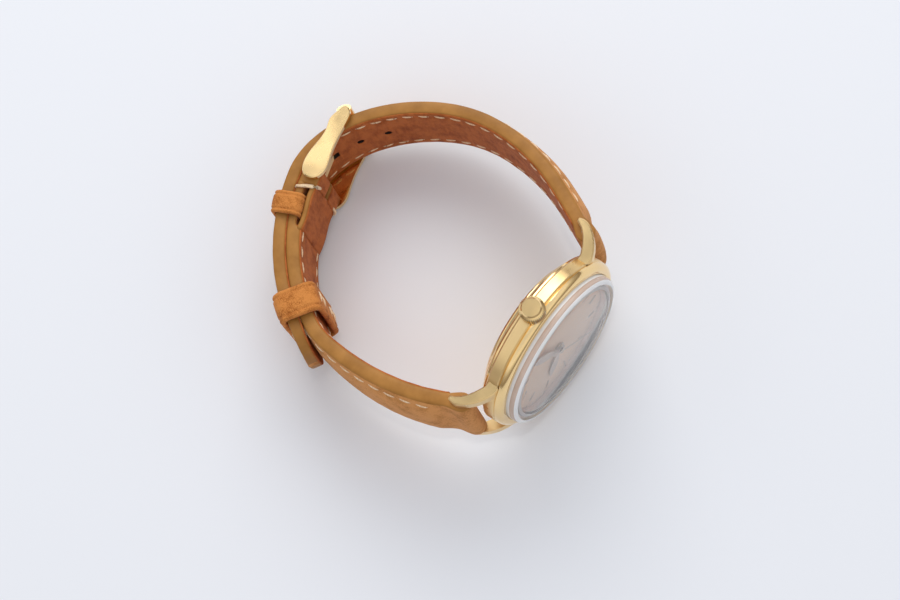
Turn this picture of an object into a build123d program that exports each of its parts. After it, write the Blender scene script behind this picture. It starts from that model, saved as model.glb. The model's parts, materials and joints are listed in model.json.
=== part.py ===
"""A hand-wound dress wristwatch with a buckled leather strap, lying on its nine o'clock side.

Every piece is modelled in the watch's own axes, in millimetres: X towards three o'clock, Y towards
twelve o'clock, Z out of the dial, with Z = 0 at the groove between the middle case and the bezel.
The last section turns the finished pieces into the resting pose, where +Z is up.
"""

import math
import os
from build123d import *

os.makedirs("parts", exist_ok=True)

# ---------------------------------------------------------------- driving dimensions
CASE_R = 18.0  # outside radius of the middle case
CASE_BACK_Z = -2.6  # joint between the middle case and the case back
CASE_BORE_R = 15.35  # bore that takes the dial and the movement holder
NECK_R = 16.6  # neck that the bezel snaps over
NECK_Z = 0.95
BACK_FACE_Z = -5.2  # flat centre of the case back
BACK_FACE_R = 13.6
CRYSTAL_R = 15.98
CRYSTAL_WALL = 1.75
CRYSTAL_EDGE_Z = 3.2  # top of the upright wall
CRYSTAL_TOP_Z = 4.6
HOLLOW_R = 13.6  # the hollow under the dome
HOLLOW_EDGE_Z = 2.45
HOLLOW_TOP_Z = 3.45

LUG_IN = 9.0  # half of the gap between a pair of lugs
LUG_OUT = 11.2
BAR_Y = 19.7  # spring bars at twelve and six o'clock
BAR_Z = -4.7
BAR_R = 0.75
BAR_TIP_R = 0.4

DIAL_R = 15.2
DIAL_Z = 0.4  # underside of the dial
DIAL_T = 0.4
HOUR_Z = 1.15  # undersides of the hands
MINUTE_Z = 1.55
SECONDS_Z = 1.95
HAND_T = 0.15
HOUR_TURN = 57.0  # hand directions, degrees anticlockwise from twelve: about nine past ten
MINUTE_TURN = -55.0
SECONDS_TURN = 129.0

STEM_Z = -0.66  # axis of the crown and the winding stem
CROWN_R = 2.45
CROWN_START = 18.6
CROWN_END = 21.6
CROWN_TEETH = 40
STEM_R = 0.42
TUBE_R = 0.6
COLLAR_R = 1.0  # the part of the crown tube that stands inside the crown
GASKET_R = 1.3

PLATE_R = 12.8
PLATE_TOP = -0.1
PLATE_BACK = -1.45
BRIDGE_FRONT = -3.5
BRIDGE_BACK = -4.2
BRIDGE_R = 12.4
PILLAR_R = 11.8  # inside of the raised rims that the bridges stand on

RUNNING = 0.03  # radial clearance of pivots, pins and bars

CLASP_Y = -8.9  # centre of the arc that the overlapped straps follow
CLASP_Z = -21.2
TAIL_R = 39.1  # middle of the long strap on that arc
SHORT_R = 36.35  # middle of the short strap on that arc
LONG_T = 2.4
SHORT_T = 2.6
OUTER_SHARE = 0.58  # share of the strap's thickness that is the outer leather
LUG_HALF = 8.85  # half widths of the strap at the lugs and at the buckle
END_HALF = 8.0
STRAP_EYE_R = 1.9
PIN_Y = -0.7  # the buckle's bar
PIN_Z = -56.0
PIN_R = 0.6
ARM_IN = 8.55
ARM_OUT = 9.75
CROSSBAR_Y = -14.45
CROSSBAR_Z = -58.2
TONGUE_HALF = 0.85

pieces = {}


def keep(part, label):
    """Labels a finished piece and holds it for the resting pose."""
    part.label = label
    pieces[label] = part


def ring_face(inner, outer, low, high):
    """A rectangle in the XZ plane, to be revolved about Z."""
    Polygon((inner, low), (outer, low), (outer, high), (inner, high), align=None)


def dome_middle(edge_x, edge_z, top_z):
    """A point on the shallow arc, centred on the Z axis, that climbs from the edge to the top."""
    rise = top_z - edge_z
    radius = (edge_x**2 + rise**2) / (2 * rise)
    return (edge_x / 2, top_z - radius + math.sqrt(radius**2 - (edge_x / 2) ** 2))


# ---------------------------------------------------------------- case
with BuildPart() as mid_case:
    for twelve in (1, -1):
        for side in (LUG_IN, -LUG_OUT):
            with BuildSketch(Plane.YZ.offset(side)):
                with BuildLine():
                    tip = (20.0 * twelve, -6.1)
                    nose = (21.0 * twelve, -6.1)
                    shoulder = (15.4 * twelve, 0.3)
                    armpit = (15.2 * twelve, -2.2)
                    back = (21.15 * twelve, -5.3)
                    Spline(nose, back, (20.1 * twelve, -3.0), (17.7 * twelve, -0.8), shoulder)
                    Polyline(shoulder, (13.4 * twelve, 0.3), (13.4 * twelve, -2.2), armpit)
                    Spline(armpit, (17.0 * twelve, -3.1), (18.9 * twelve, -4.5), tip)
                    ThreePointArc(tip, (20.55 * twelve, -6.6), nose)
                make_face()
            extrude(amount=LUG_OUT - LUG_IN)
    flanks = mid_case.faces().filter_by(Axis.X).sort_by(Axis.X)
    chamfer(flanks[:2].edges() + flanks[-2:].edges(), 0.25)
    Cylinder(17.4, 40, mode=Mode.SUBTRACT)
    with Locations((0, 0, 1.0)):
        Cylinder(CASE_R + 0.05, 2.0, mode=Mode.SUBTRACT)
    with BuildSketch(Plane.XZ):
        Polygon(
            (CASE_BORE_R, CASE_BACK_Z),
            (CASE_R - 0.35, CASE_BACK_Z),
            (CASE_R, CASE_BACK_Z + 0.35),
            (CASE_R, -0.3),
            (CASE_R - 0.3, 0),
            (NECK_R, 0),
            (NECK_R, NECK_Z),
            (14.7, NECK_Z),
            (14.7, DIAL_Z + DIAL_T + 0.02),
            (CASE_BORE_R, DIAL_Z + DIAL_T + 0.02),
            align=None,
        )
    revolve(axis=Axis.Z)
    with BuildSketch(Plane.YZ.offset(CASE_BORE_R - 1)):
        with Locations((0, STEM_Z)):
            Circle(TUBE_R)
    extrude(amount=4, mode=Mode.SUBTRACT)
    for twelve in (1, -1):
        with BuildSketch(Plane.YZ):
            with Locations((BAR_Y * twelve, BAR_Z)):
                Circle(BAR_TIP_R + RUNNING)
        extrude(amount=LUG_IN + 1.2, both=True, mode=Mode.SUBTRACT)
keep(mid_case.part, "mid_case")

with BuildPart() as bezel:
    with BuildSketch(Plane.XZ):
        with BuildLine():
            foot = Polyline((CASE_R - 0.25, 0.03), (NECK_R, 0.03), (NECK_R, NECK_Z))
            bore = Polyline(foot @ 1, (16.05, NECK_Z), (16.05, 1.5))
            seat = Line(bore @ 1, (16.2, 1.62))
            shelf = Line(seat @ 1, (16.75, 1.62))
            ThreePointArc(shelf @ 1, (17.6, 1.15), (CASE_R - 0.05, 0.3))
            Line((CASE_R - 0.05, 0.3), foot @ 0)
        make_face()
    revolve(axis=Axis.Z)
keep(bezel.part, "bezel")

with BuildPart() as crystal:
    with BuildSketch(Plane.XZ):
        with BuildLine():
            wall = Line((CRYSTAL_R, NECK_Z + 0.02), (CRYSTAL_R, CRYSTAL_EDGE_Z - 0.45))
            rim_way = (CRYSTAL_R - 0.23, CRYSTAL_EDGE_Z + 0.07)
            rim_end = (CRYSTAL_R - 0.98, CRYSTAL_EDGE_Z + 0.35)
            rim = ThreePointArc(wall @ 1, rim_way, rim_end)
            dome_way = dome_middle(*rim_end, CRYSTAL_TOP_Z)
            dome = ThreePointArc(rim @ 1, dome_way, (0, CRYSTAL_TOP_Z))
            core = Line(dome @ 1, (0, HOLLOW_TOP_Z))
            hollow_way = dome_middle(HOLLOW_R, HOLLOW_EDGE_Z, HOLLOW_TOP_Z)
            hollow = ThreePointArc(core @ 1, hollow_way, (HOLLOW_R, HOLLOW_EDGE_Z))
            inner_r = CRYSTAL_R - CRYSTAL_WALL
            inner = Polyline(hollow @ 1, (inner_r, HOLLOW_EDGE_Z - 0.35), (inner_r, NECK_Z + 0.02))
            Line(inner @ 1, wall @ 0)
        make_face()
    revolve(axis=Axis.Z)
keep(crystal.part, "crystal")

with BuildPart() as tension_ring:
    with BuildSketch(Plane.XZ):
        outside = CRYSTAL_R - CRYSTAL_WALL - 0.02
        ring_top = HOLLOW_EDGE_Z - 0.5
        Polygon((13.7, 0.97), (outside, 0.97), (outside, ring_top), (13.95, ring_top), align=None)
    revolve(axis=Axis.Z)
keep(tension_ring.part, "tension_ring")

with BuildPart() as case_back:
    with BuildSketch(Plane.XZ):
        Polygon(
            (0, BACK_FACE_Z),
            (BACK_FACE_R, BACK_FACE_Z),
            (13.95, -4.85),
            (14.05, -4.3),
            (15.6, -4.15),
            (16.1, -3.75),
            (16.25, -3.4),
            (17.05, -3.3),
            (17.3, -3.05),
            (17.3, CASE_BACK_Z),
            (CASE_BORE_R - 0.03, CASE_BACK_Z),
            (CASE_BORE_R - 0.03, PLATE_BACK - 0.05),
            (14.6, PLATE_BACK - 0.05),
            (14.6, -3.45),
            (13.2, -3.8),
            (13.2, -4.65),
            (0, -4.65),
            align=None,
        )
    revolve(axis=Axis.Z)
    with BuildSketch(Plane.XZ):
        ring_face(15.9, 16.4, CASE_BACK_Z - 0.4, CASE_BACK_Z)
    revolve(axis=Axis.Z, mode=Mode.SUBTRACT)
keep(case_back.part, "case_back")

with BuildPart() as case_back_gasket:
    with BuildSketch(Plane.XZ):
        ring_face(15.93, 16.37, CASE_BACK_Z - 0.4, CASE_BACK_Z)
    revolve(axis=Axis.Z)
keep(case_back_gasket.part, "case_back_gasket")

# ---------------------------------------------------------------- dial and hands
FEET = ((8.8, 8.0), (-9.4, -6.6))  # dial feet

with BuildPart() as dial:
    with BuildSketch(Plane.XY.offset(DIAL_Z)):
        Circle(DIAL_R)
        Circle(1.15, mode=Mode.SUBTRACT)
    extrude(amount=DIAL_T)
    with BuildSketch(Plane.XY.offset(DIAL_Z)):
        with Locations(*FEET):
            Circle(0.4)
    extrude(amount=-1.3)
keep(dial.part, "dial")

with BuildPart() as dial_markers:
    with BuildSketch(Plane.XY.offset(DIAL_Z + DIAL_T)):
        with PolarLocations(11.2, 12):
            Rectangle(2.0, 0.4)
    extrude(amount=0.2)
keep(dial_markers.part, "dial_markers")


def leaf(length, half_width, tail):
    """A leaf-shaped hand along +Y: widest a third of the way out, with a short tail."""
    with BuildLine() as outline:
        right = Spline((0, length), (half_width, length * 0.36), (0.35, 0.9), (0.3, -tail))
        left = Spline((0, length), (-half_width, length * 0.36), (-0.35, 0.9), (-0.3, -tail))
        Line(right @ 1, left @ 1)
    make_face(outline.edges())


with BuildPart() as hour_hand:
    with BuildSketch(Plane.XY.offset(HOUR_Z).rotated((0, 0, HOUR_TURN))):
        leaf(8.0, 0.85, 1.2)
        Circle(1.35)
        Circle(0.95, mode=Mode.SUBTRACT)
    extrude(amount=HAND_T)
keep(hour_hand.part, "hour_hand")

with BuildPart() as minute_hand:
    with BuildSketch(Plane.XY.offset(MINUTE_Z).rotated((0, 0, MINUTE_TURN))):
        leaf(12.0, 0.8, 1.0)
        Circle(1.05)
        Circle(0.62, mode=Mode.SUBTRACT)
    extrude(amount=HAND_T)
keep(minute_hand.part, "minute_hand")

with BuildPart() as seconds_hand:
    with BuildSketch(Plane.XY.offset(SECONDS_Z).rotated((0, 0, SECONDS_TURN))):
        Polygon((-0.16, -3.6), (0.16, -3.6), (0.07, 12.4), (-0.07, 12.4), align=None)
        Circle(0.6)
        Circle(0.2, mode=Mode.SUBTRACT)
    extrude(amount=HAND_T)
keep(seconds_hand.part, "seconds_hand")


# ---------------------------------------------------------------- gear helpers
def teeth(count, module, phase=0.0):
    """Outline points of a straight-flanked gear; phase, in degrees, is the first tooth's direction."""
    pitch = count * module / 2
    root, tip = pitch - 1.25 * module, pitch + 0.85 * module
    places = []
    for number in range(count):
        for share, radius in ((-0.27, root), (-0.12, tip), (0.12, tip), (0.27, root)):
            angle = math.radians(phase + 360 * (number + share) / count)
            places.append((radius * math.cos(angle), radius * math.sin(angle)))
    return places


def gear(count, module, low, height, at=(0, 0), phase=0.0):
    """Adds a toothed disc to the part being built."""
    with BuildSketch(Plane.XY.offset(low)) as toothed:
        with Locations(at):
            Polygon(*teeth(count, module, phase), align=None)
    extrude(toothed.sketch, amount=height)


def disc(radius, low, height, at=(0, 0), mode=Mode.ADD):
    """Adds or cuts a round disc, boss, shaft or hole along Z."""
    with BuildSketch(Plane.XY.offset(low)) as round_face:
        with Locations(at):
            Circle(radius)
    extrude(round_face.sketch, amount=height, mode=mode)


def in_mesh(first_at, first_count, first_phase, second_at, second_count):
    """Phase of a second gear whose teeth stand in the first one's gaps, in degrees."""
    line = math.degrees(math.atan2(second_at[1] - first_at[1], second_at[0] - first_at[0]))
    offset = (first_phase - line) * first_count / 360
    return line + 180 - (offset + 0.5) * 360 / second_count


def polar(radius, angle):
    """A point in the movement's plane."""
    return (radius * math.cos(math.radians(angle)), radius * math.sin(math.radians(angle)))


# ---------------------------------------------------------------- train layout
CENTRE = (0.0, 0.0)
BARREL_TEETH, CENTRE_LEAVES, BARREL_M = 80, 10, 0.135
CENTRE_TEETH, THIRD_LEAVES, CENTRE_M = 80, 10, 0.12
THIRD_TEETH, FOURTH_LEAVES = 75, 10
THIRD_M = CENTRE_M * (CENTRE_TEETH + THIRD_LEAVES) / (THIRD_TEETH + FOURTH_LEAVES)
FOURTH_TEETH, ESCAPE_LEAVES, FOURTH_M = 80, 8, 0.12
CANNON_LEAVES, MINUTE_TEETH, MINUTE_M = 12, 36, 0.12
MINUTE_LEAVES, HOUR_TEETH = 10, 40
HOUR_M = MINUTE_M * (CANNON_LEAVES + MINUTE_TEETH) / (MINUTE_LEAVES + HOUR_TEETH)
SETTING_TEETH = 20
RATCHET_TEETH, CROWN_WHEEL_TEETH, WINDING_M = 60, 36, 0.157
WINDING_LEAVES, FACE_TEETH = 12, 24

CROWN_WHEEL = (7.65, 0.0)
BARREL_REACH = BARREL_M * (BARREL_TEETH + CENTRE_LEAVES) / 2
WINDING_REACH = WINDING_M * (RATCHET_TEETH + CROWN_WHEEL_TEETH) / 2
BARREL_X = (BARREL_REACH**2 - WINDING_REACH**2 + CROWN_WHEEL[0] ** 2) / (2 * CROWN_WHEEL[0])
BARREL = (BARREL_X, math.sqrt(BARREL_REACH**2 - BARREL_X**2))
THIRD = polar(CENTRE_M * (CENTRE_TEETH + THIRD_LEAVES) / 2, 215)
ESCAPE = polar(FOURTH_M * (FOURTH_TEETH + ESCAPE_LEAVES) / 2, 278)
BALANCE = polar(8.0, 312)
PALLET_REACH = 2.5  # escape wheel axis to pallet axis
ESCAPE_LINE = math.degrees(math.atan2(BALANCE[1] - ESCAPE[1], BALANCE[0] - ESCAPE[0]))
PALLET_STEP = polar(PALLET_REACH, ESCAPE_LINE)
PALLET = (ESCAPE[0] + PALLET_STEP[0], ESCAPE[1] + PALLET_STEP[1])
MINUTE = polar(MINUTE_M * (CANNON_LEAVES + MINUTE_TEETH) / 2, -35)
SETTING_REACH = MINUTE_M * (MINUTE_TEETH + SETTING_TEETH) / 2
SETTING = (MINUTE[0] + math.sqrt(SETTING_REACH**2 - MINUTE[1] ** 2), 0.0)

LEVER_AT = (10.6, 2.3)
YOKE_AT = (7.2, 4.2)

BARREL_LOW, BARREL_TOP = -2.45, -1.15
CENTRE_LOW = -2.75
THIRD_LOW = -3.05
FOURTH_LOW = -3.4
ESCAPE_LOW = -2.3
WHEEL_T = 0.16
MOTION_LOW = -0.05  # motion work on the dial side
RATCHET_LOW = -4.5
RATCHET_T = 0.25

BARREL_SCREWS = (polar(12.0, -8), polar(12.0, 62), polar(12.0, 106))
TRAIN_SCREWS = (polar(12.0, 135), polar(12.0, 190), polar(12.0, 245))
COCK_SCREW = (10.9, -4.0)
PALLET_SCREW = (2.6, -10.9)
CLAMPS = (80, 200, 320)  # directions of the casing clamps
CLAMP_R = 13.5  # the clamps hold the main plate's edge down in the holder
JEWEL_R = 0.5
JEWEL_T = 0.3
COCK_FRONT = -3.7  # underside of the balance cock
PIVOT_R = 0.12

# ---------------------------------------------------------------- movement: plate and bridges
with BuildPart() as main_plate:
    disc(PLATE_R, PLATE_BACK, PLATE_TOP - PLATE_BACK)
    disc(5.75, PLATE_BACK, 0.35, BARREL, Mode.SUBTRACT)
    disc(0.6 + RUNNING, PLATE_BACK, 2, BARREL, Mode.SUBTRACT)
    disc(0.45 + RUNNING, PLATE_BACK, 2, CENTRE, Mode.SUBTRACT)
    for pivot in (THIRD, ESCAPE, BALANCE, PALLET):
        disc(JEWEL_R, PLATE_BACK, JEWEL_T, pivot, Mode.SUBTRACT)
    for foot in FEET:
        disc(0.42, PLATE_BACK, 2, foot, Mode.SUBTRACT)
    for screw in (*BARREL_SCREWS, *TRAIN_SCREWS, COCK_SCREW, PALLET_SCREW):
        disc(0.35, PLATE_BACK, 0.6, screw, Mode.SUBTRACT)
    with BuildSketch(Plane.YZ.offset(5.6)):
        with Locations((0, STEM_Z)):
            Circle(0.5)
    extrude(amount=10, mode=Mode.SUBTRACT)
    with BuildSketch(Plane.XY.offset(PLATE_BACK)):
        with Locations((8.15, 0)):
            Rectangle(4.1, 2.4)
    extrude(amount=2, mode=Mode.SUBTRACT)
    with BuildSketch(Plane.XY.offset(STEM_Z)):
        with Locations((11.2, 0.4)):
            Rectangle(2.6, 1.8)
    extrude(amount=2, mode=Mode.SUBTRACT)
    for post in (MINUTE, SETTING):
        disc(0.25, PLATE_TOP, 0.4, post)
    for post in (LEVER_AT, YOKE_AT):
        disc(0.17, PLATE_TOP, 0.3, post)
keep(main_plate.part, "main_plate")


def bridge_body(outline):
    """A bridge: a plate over the train with a raised rim standing on the main plate."""
    with BuildSketch(Plane.XY.offset(BRIDGE_BACK)) as plate:
        Circle(BRIDGE_R)
        Polygon(*outline, align=None, mode=Mode.INTERSECT)
    extrude(plate.sketch, amount=BRIDGE_FRONT - BRIDGE_BACK)
    with BuildSketch(Plane.XY.offset(BRIDGE_FRONT)) as rim:
        Circle(BRIDGE_R)
        Circle(PILLAR_R, mode=Mode.SUBTRACT)
        Polygon(*outline, align=None, mode=Mode.INTERSECT)
    extrude(rim.sketch, amount=PLATE_BACK - BRIDGE_FRONT)


def screw_holes(places):
    """Clearance holes through a bridge and its rim."""
    for place in places:
        disc(0.35, BRIDGE_BACK, PLATE_BACK - BRIDGE_BACK, place, Mode.SUBTRACT)


with BuildPart() as barrel_bridge:
    bridge_body(((-6.5, 14), (-1.4, 3.0), (1.9, 1.2), (4.4, -2.4), (14, -2.4), (14, 14)))
    screw_holes(BARREL_SCREWS)
    disc(0.6 + RUNNING, BRIDGE_BACK, 1, BARREL, Mode.SUBTRACT)
    disc(2.0, BRIDGE_BACK, 1, CROWN_WHEEL, Mode.SUBTRACT)
    with BuildSketch(Plane.XY.offset(BRIDGE_FRONT)):
        with Locations((12.1, 0)):
            Rectangle(2, 2.2)
    extrude(amount=2.2, mode=Mode.SUBTRACT)
keep(barrel_bridge.part, "barrel_bridge")

with BuildPart() as train_bridge:
    inner_edge = ((-6.8, 14), (-1.7, 2.8), (1.4, 0.9), (1.6, -3.0), (1.7, -6.2), (-1.0, -14))
    bridge_body((*inner_edge, (-14, -14), (-14, 14)))
    screw_holes(TRAIN_SCREWS)
    for pivot in (THIRD, ESCAPE, CENTRE):
        disc(JEWEL_R, BRIDGE_FRONT - JEWEL_T, JEWEL_T, pivot, Mode.SUBTRACT)
keep(train_bridge.part, "train_bridge")

with BuildPart() as balance_cock:
    with BuildSketch(Plane.XY.offset(BRIDGE_BACK)):
        with BuildLine():
            Polyline(BALANCE, COCK_SCREW)
        trace(line_width=2.6)
        with Locations(BALANCE, COCK_SCREW):
            Circle(1.3)
        Circle(BRIDGE_R, mode=Mode.INTERSECT)
    extrude(amount=COCK_FRONT - BRIDGE_BACK)
    with BuildSketch(Plane.XY.offset(COCK_FRONT)):
        with Locations(COCK_SCREW):
            Circle(1.3)
        Circle(BRIDGE_R, mode=Mode.INTERSECT)
    extrude(amount=PLATE_BACK - COCK_FRONT)
    screw_holes((COCK_SCREW,))
    disc(JEWEL_R, COCK_FRONT - JEWEL_T, JEWEL_T, BALANCE, Mode.SUBTRACT)
keep(balance_cock.part, "balance_cock")

with BuildPart() as pallet_bridge:
    with BuildSketch(Plane.XY.offset(-2.8)):
        with BuildLine():
            Polyline(PALLET, PALLET_SCREW)
        trace(line_width=1.2)
        with Locations(PALLET, PALLET_SCREW):
            Circle(0.6)
    extrude(amount=0.3)
    disc(0.6, -2.5, PLATE_BACK + 2.5, PALLET_SCREW)
    disc(0.35, -2.8, PLATE_BACK + 2.8, PALLET_SCREW, Mode.SUBTRACT)
    disc(PIVOT_R + RUNNING, -2.8, 0.3, PALLET, Mode.SUBTRACT)
keep(pallet_bridge.part, "pallet_bridge")

with BuildPart() as bridge_screws:
    for place in (*BARREL_SCREWS, *TRAIN_SCREWS, COCK_SCREW):
        disc(0.4, BRIDGE_BACK - 0.2, 0.2, place)
        disc(0.33, BRIDGE_BACK, PLATE_BACK + 0.5 - BRIDGE_BACK, place)
    disc(0.55, -2.85, 0.05, PALLET_SCREW)
    disc(0.33, -2.8, PLATE_BACK + 0.5 + 2.8, PALLET_SCREW)
keep(bridge_screws.part, "bridge_screws")

PLATE_JEWELS = [(pivot, PLATE_BACK) for pivot in (THIRD, ESCAPE, BALANCE, PALLET)]
BRIDGE_JEWELS = [(pivot, BRIDGE_FRONT - JEWEL_T) for pivot in (THIRD, ESCAPE, CENTRE)]
with BuildPart() as jewels:
    for pivot, low in (*PLATE_JEWELS, *BRIDGE_JEWELS, (BALANCE, COCK_FRONT - JEWEL_T)):
        disc(JEWEL_R, low, JEWEL_T, pivot)
        disc(PIVOT_R + RUNNING, low, JEWEL_T, pivot, Mode.SUBTRACT)
keep(jewels.part, "jewels")

with BuildPart() as movement_holder:
    with BuildSketch(Plane.XY.offset(PLATE_BACK)):
        Circle(DIAL_R + 0.1)
        Circle(PLATE_R + 0.03, mode=Mode.SUBTRACT)
    extrude(amount=DIAL_Z - PLATE_BACK)
    for direction in CLAMPS:
        disc(0.3, PLATE_BACK, 0.8, polar(CLAMP_R + 0.3, direction), Mode.SUBTRACT)
    with BuildSketch(Plane.YZ.offset(PLATE_R - 1)):
        with Locations((0, STEM_Z)):
            Circle(0.75)
    extrude(amount=4, mode=Mode.SUBTRACT)
keep(movement_holder.part, "movement_holder")

with BuildPart() as casing_clamps:
    for direction in CLAMPS:
        with BuildSketch(Plane.XY.offset(PLATE_BACK - 0.2).rotated((0, 0, direction))):
            with Locations((CLAMP_R, 0)):
                SlotOverall(2.0, 1.2)
            with Locations((CLAMP_R + 0.3, 0)):
                Circle(0.3, mode=Mode.SUBTRACT)
        extrude(amount=0.2)
keep(casing_clamps.part, "casing_clamps")

with BuildPart() as casing_screws:
    for direction in CLAMPS:
        disc(0.28, PLATE_BACK - 0.2, 0.9, polar(CLAMP_R + 0.3, direction))
        disc(0.48, PLATE_BACK - 0.4, 0.2, polar(CLAMP_R + 0.3, direction))
keep(casing_screws.part, "casing_screws")

# ---------------------------------------------------------------- movement: mainspring barrel
def spiral(inner, outer, turns, width):
    """Outline of a flat strip wound in a spiral."""
    steps = int(turns * 16)
    near, far = [], []
    for step in range(steps + 1):
        angle = 2 * math.pi * turns * step / steps
        radius = inner + (outer - inner) * step / steps
        near.append(((radius - width / 2) * math.cos(angle), (radius - width / 2) * math.sin(angle)))
        far.append(((radius + width / 2) * math.cos(angle), (radius + width / 2) * math.sin(angle)))
    return near + far[::-1]


with BuildPart() as barrel_drum:
    gear(BARREL_TEETH, BARREL_M, BARREL_LOW, 0.22, BARREL)
    disc(5.0, BARREL_LOW, BARREL_TOP - 0.2 - BARREL_LOW, BARREL)
    disc(4.75, BARREL_LOW + 0.22, 2, BARREL, Mode.SUBTRACT)
    disc(0.6 + RUNNING, BARREL_LOW, 2, BARREL, Mode.SUBTRACT)
keep(barrel_drum.part, "barrel_drum")

with BuildPart() as barrel_cover:
    disc(5.0, BARREL_TOP - 0.2, 0.2, BARREL)
    disc(0.6 + RUNNING, BARREL_TOP - 0.2, 0.2, BARREL, Mode.SUBTRACT)
keep(barrel_cover.part, "barrel_cover")

with BuildPart() as mainspring:
    with BuildSketch(Plane.XY.offset(BARREL_LOW + 0.27)):
        with Locations(BARREL):
            Polygon(*spiral(1.4, 4.6, 7, 0.14), align=None)
    extrude(amount=0.75)
keep(mainspring.part, "mainspring")

with BuildPart() as barrel_arbor:
    disc(0.6, RATCHET_LOW, -0.65 - RATCHET_LOW, BARREL)
    disc(1.2, BARREL_LOW + 0.27, 0.75, BARREL)
keep(barrel_arbor.part, "barrel_arbor")

with BuildPart() as ratchet_wheel:
    gear(RATCHET_TEETH, WINDING_M, RATCHET_LOW, RATCHET_T, BARREL)
    disc(0.6, RATCHET_LOW, RATCHET_T, BARREL, Mode.SUBTRACT)
keep(ratchet_wheel.part, "ratchet_wheel")

crown_wheel_phase = in_mesh(BARREL, RATCHET_TEETH, 0, CROWN_WHEEL, CROWN_WHEEL_TEETH)
with BuildPart() as crown_wheel:
    gear(CROWN_WHEEL_TEETH, WINDING_M, RATCHET_LOW, RATCHET_T, CROWN_WHEEL, crown_wheel_phase)
    disc(1.9, RATCHET_LOW, -1.75 - RATCHET_LOW, CROWN_WHEEL)
    with BuildSketch(Plane.XY.offset(-1.75)):
        with Locations(CROWN_WHEEL):
            with PolarLocations(1.55, FACE_TEETH, start_angle=180 / FACE_TEETH):
                Rectangle(0.6, 0.14)
    extrude(amount=0.14)
    disc(1.2, -1.95, 1, CROWN_WHEEL, Mode.SUBTRACT)
    disc(0.8, -5, 5, CROWN_WHEEL, Mode.SUBTRACT)
keep(crown_wheel.part, "crown_wheel")

CLICK_AT = (BARREL[0] - 6.35, BARREL[1] + 3.6)
CLICK_BEAK = (BARREL[0] - 4.64, BARREL[1] + 1.73)
with BuildPart() as click:
    with BuildSketch(Plane.XY.offset(RATCHET_LOW)):
        with Locations(CLICK_AT):
            Circle(0.7)
        Polygon(
            (CLICK_AT[0] - 0.3, CLICK_AT[1] - 0.6),
            CLICK_BEAK,
            (CLICK_BEAK[0] - 0.1, CLICK_BEAK[1] + 0.35),
            (CLICK_AT[0] + 0.5, CLICK_AT[1] + 0.4),
            align=None,
        )
        with Locations(CLICK_AT):
            Circle(0.3 + RUNNING, mode=Mode.SUBTRACT)
    extrude(amount=RATCHET_T)
keep(click.part, "click")

with BuildPart() as click_spring:
    with BuildSketch(Plane.XY.offset(RATCHET_LOW)):
        with BuildLine():
            Spline((-1.2, 11.2), (-2.2, 10.6), (CLICK_AT[0] - 0.3, CLICK_AT[1] + 0.85))
        trace(line_width=0.14)
        with Locations((-1.2, 11.2)):
            Circle(0.45)
    extrude(amount=RATCHET_T)
    disc(0.45, RATCHET_LOW, BRIDGE_BACK - RATCHET_LOW, (-1.2, 11.2))
    disc(0.3, RATCHET_LOW - 0.05, BRIDGE_BACK - RATCHET_LOW + 0.05, CLICK_AT)
keep(click_spring.part, "click_spring")


# ---------------------------------------------------------------- movement: going train
def arbor(at, low, high, radius=0.22):
    """A wheel's steel arbor with a thin pivot at each end."""
    disc(radius, low + 0.2, high - low - 0.4, at)
    disc(PIVOT_R, low, high - low, at)


PIVOT_LOW = BRIDGE_FRONT - 0.25  # ends of the pivots in the bridge and plate jewels
PIVOT_HIGH = PLATE_BACK + 0.25

with BuildPart() as centre_wheel:
    gear(CENTRE_TEETH, CENTRE_M, CENTRE_LOW, WHEEL_T)
    with BuildSketch(Plane.XY.offset(CENTRE_LOW)):
        with PolarLocations(2.5, 4):
            Circle(1.25)
    extrude(amount=WHEEL_T, mode=Mode.SUBTRACT)
    centre_phase = in_mesh(BARREL, BARREL_TEETH, 0, CENTRE, CENTRE_LEAVES)
    centre_leaves_low = CENTRE_LOW + WHEEL_T
    gear(CENTRE_LEAVES, BARREL_M, centre_leaves_low, -2.0 - centre_leaves_low, CENTRE, centre_phase)
    disc(0.45, CENTRE_LOW, 0.9 - CENTRE_LOW)
    disc(0.2 + RUNNING, CENTRE_LOW, 5, CENTRE, Mode.SUBTRACT)
keep(centre_wheel.part, "centre_wheel")

with BuildPart() as third_wheel:
    gear(THIRD_TEETH, THIRD_M, THIRD_LOW, WHEEL_T, THIRD)
    with BuildSketch(Plane.XY.offset(THIRD_LOW)):
        with Locations(THIRD):
            with PolarLocations(2.4, 4):
                Circle(1.2)
    extrude(amount=WHEEL_T, mode=Mode.SUBTRACT)
    third_phase = in_mesh(CENTRE, CENTRE_TEETH, 0, THIRD, THIRD_LEAVES)
    gear(THIRD_LEAVES, CENTRE_M, THIRD_LOW + WHEEL_T, 0.45, THIRD, third_phase)
    arbor(THIRD, PIVOT_LOW, PIVOT_HIGH)
keep(third_wheel.part, "third_wheel")

with BuildPart() as fourth_wheel:
    gear(FOURTH_TEETH, FOURTH_M, FOURTH_LOW, 0.14)
    with BuildSketch(Plane.XY.offset(FOURTH_LOW)):
        with PolarLocations(2.6, 4):
            Circle(1.35)
    extrude(amount=0.14, mode=Mode.SUBTRACT)
    fourth_phase = in_mesh(THIRD, THIRD_TEETH, 0, CENTRE, FOURTH_LEAVES)
    gear(FOURTH_LEAVES, THIRD_M, FOURTH_LOW + 0.14, 0.45, CENTRE, fourth_phase)
    disc(0.2, FOURTH_LOW, SECONDS_Z + HAND_T - FOURTH_LOW)
    disc(PIVOT_R, PIVOT_LOW, 1)
keep(fourth_wheel.part, "fourth_wheel")

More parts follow.
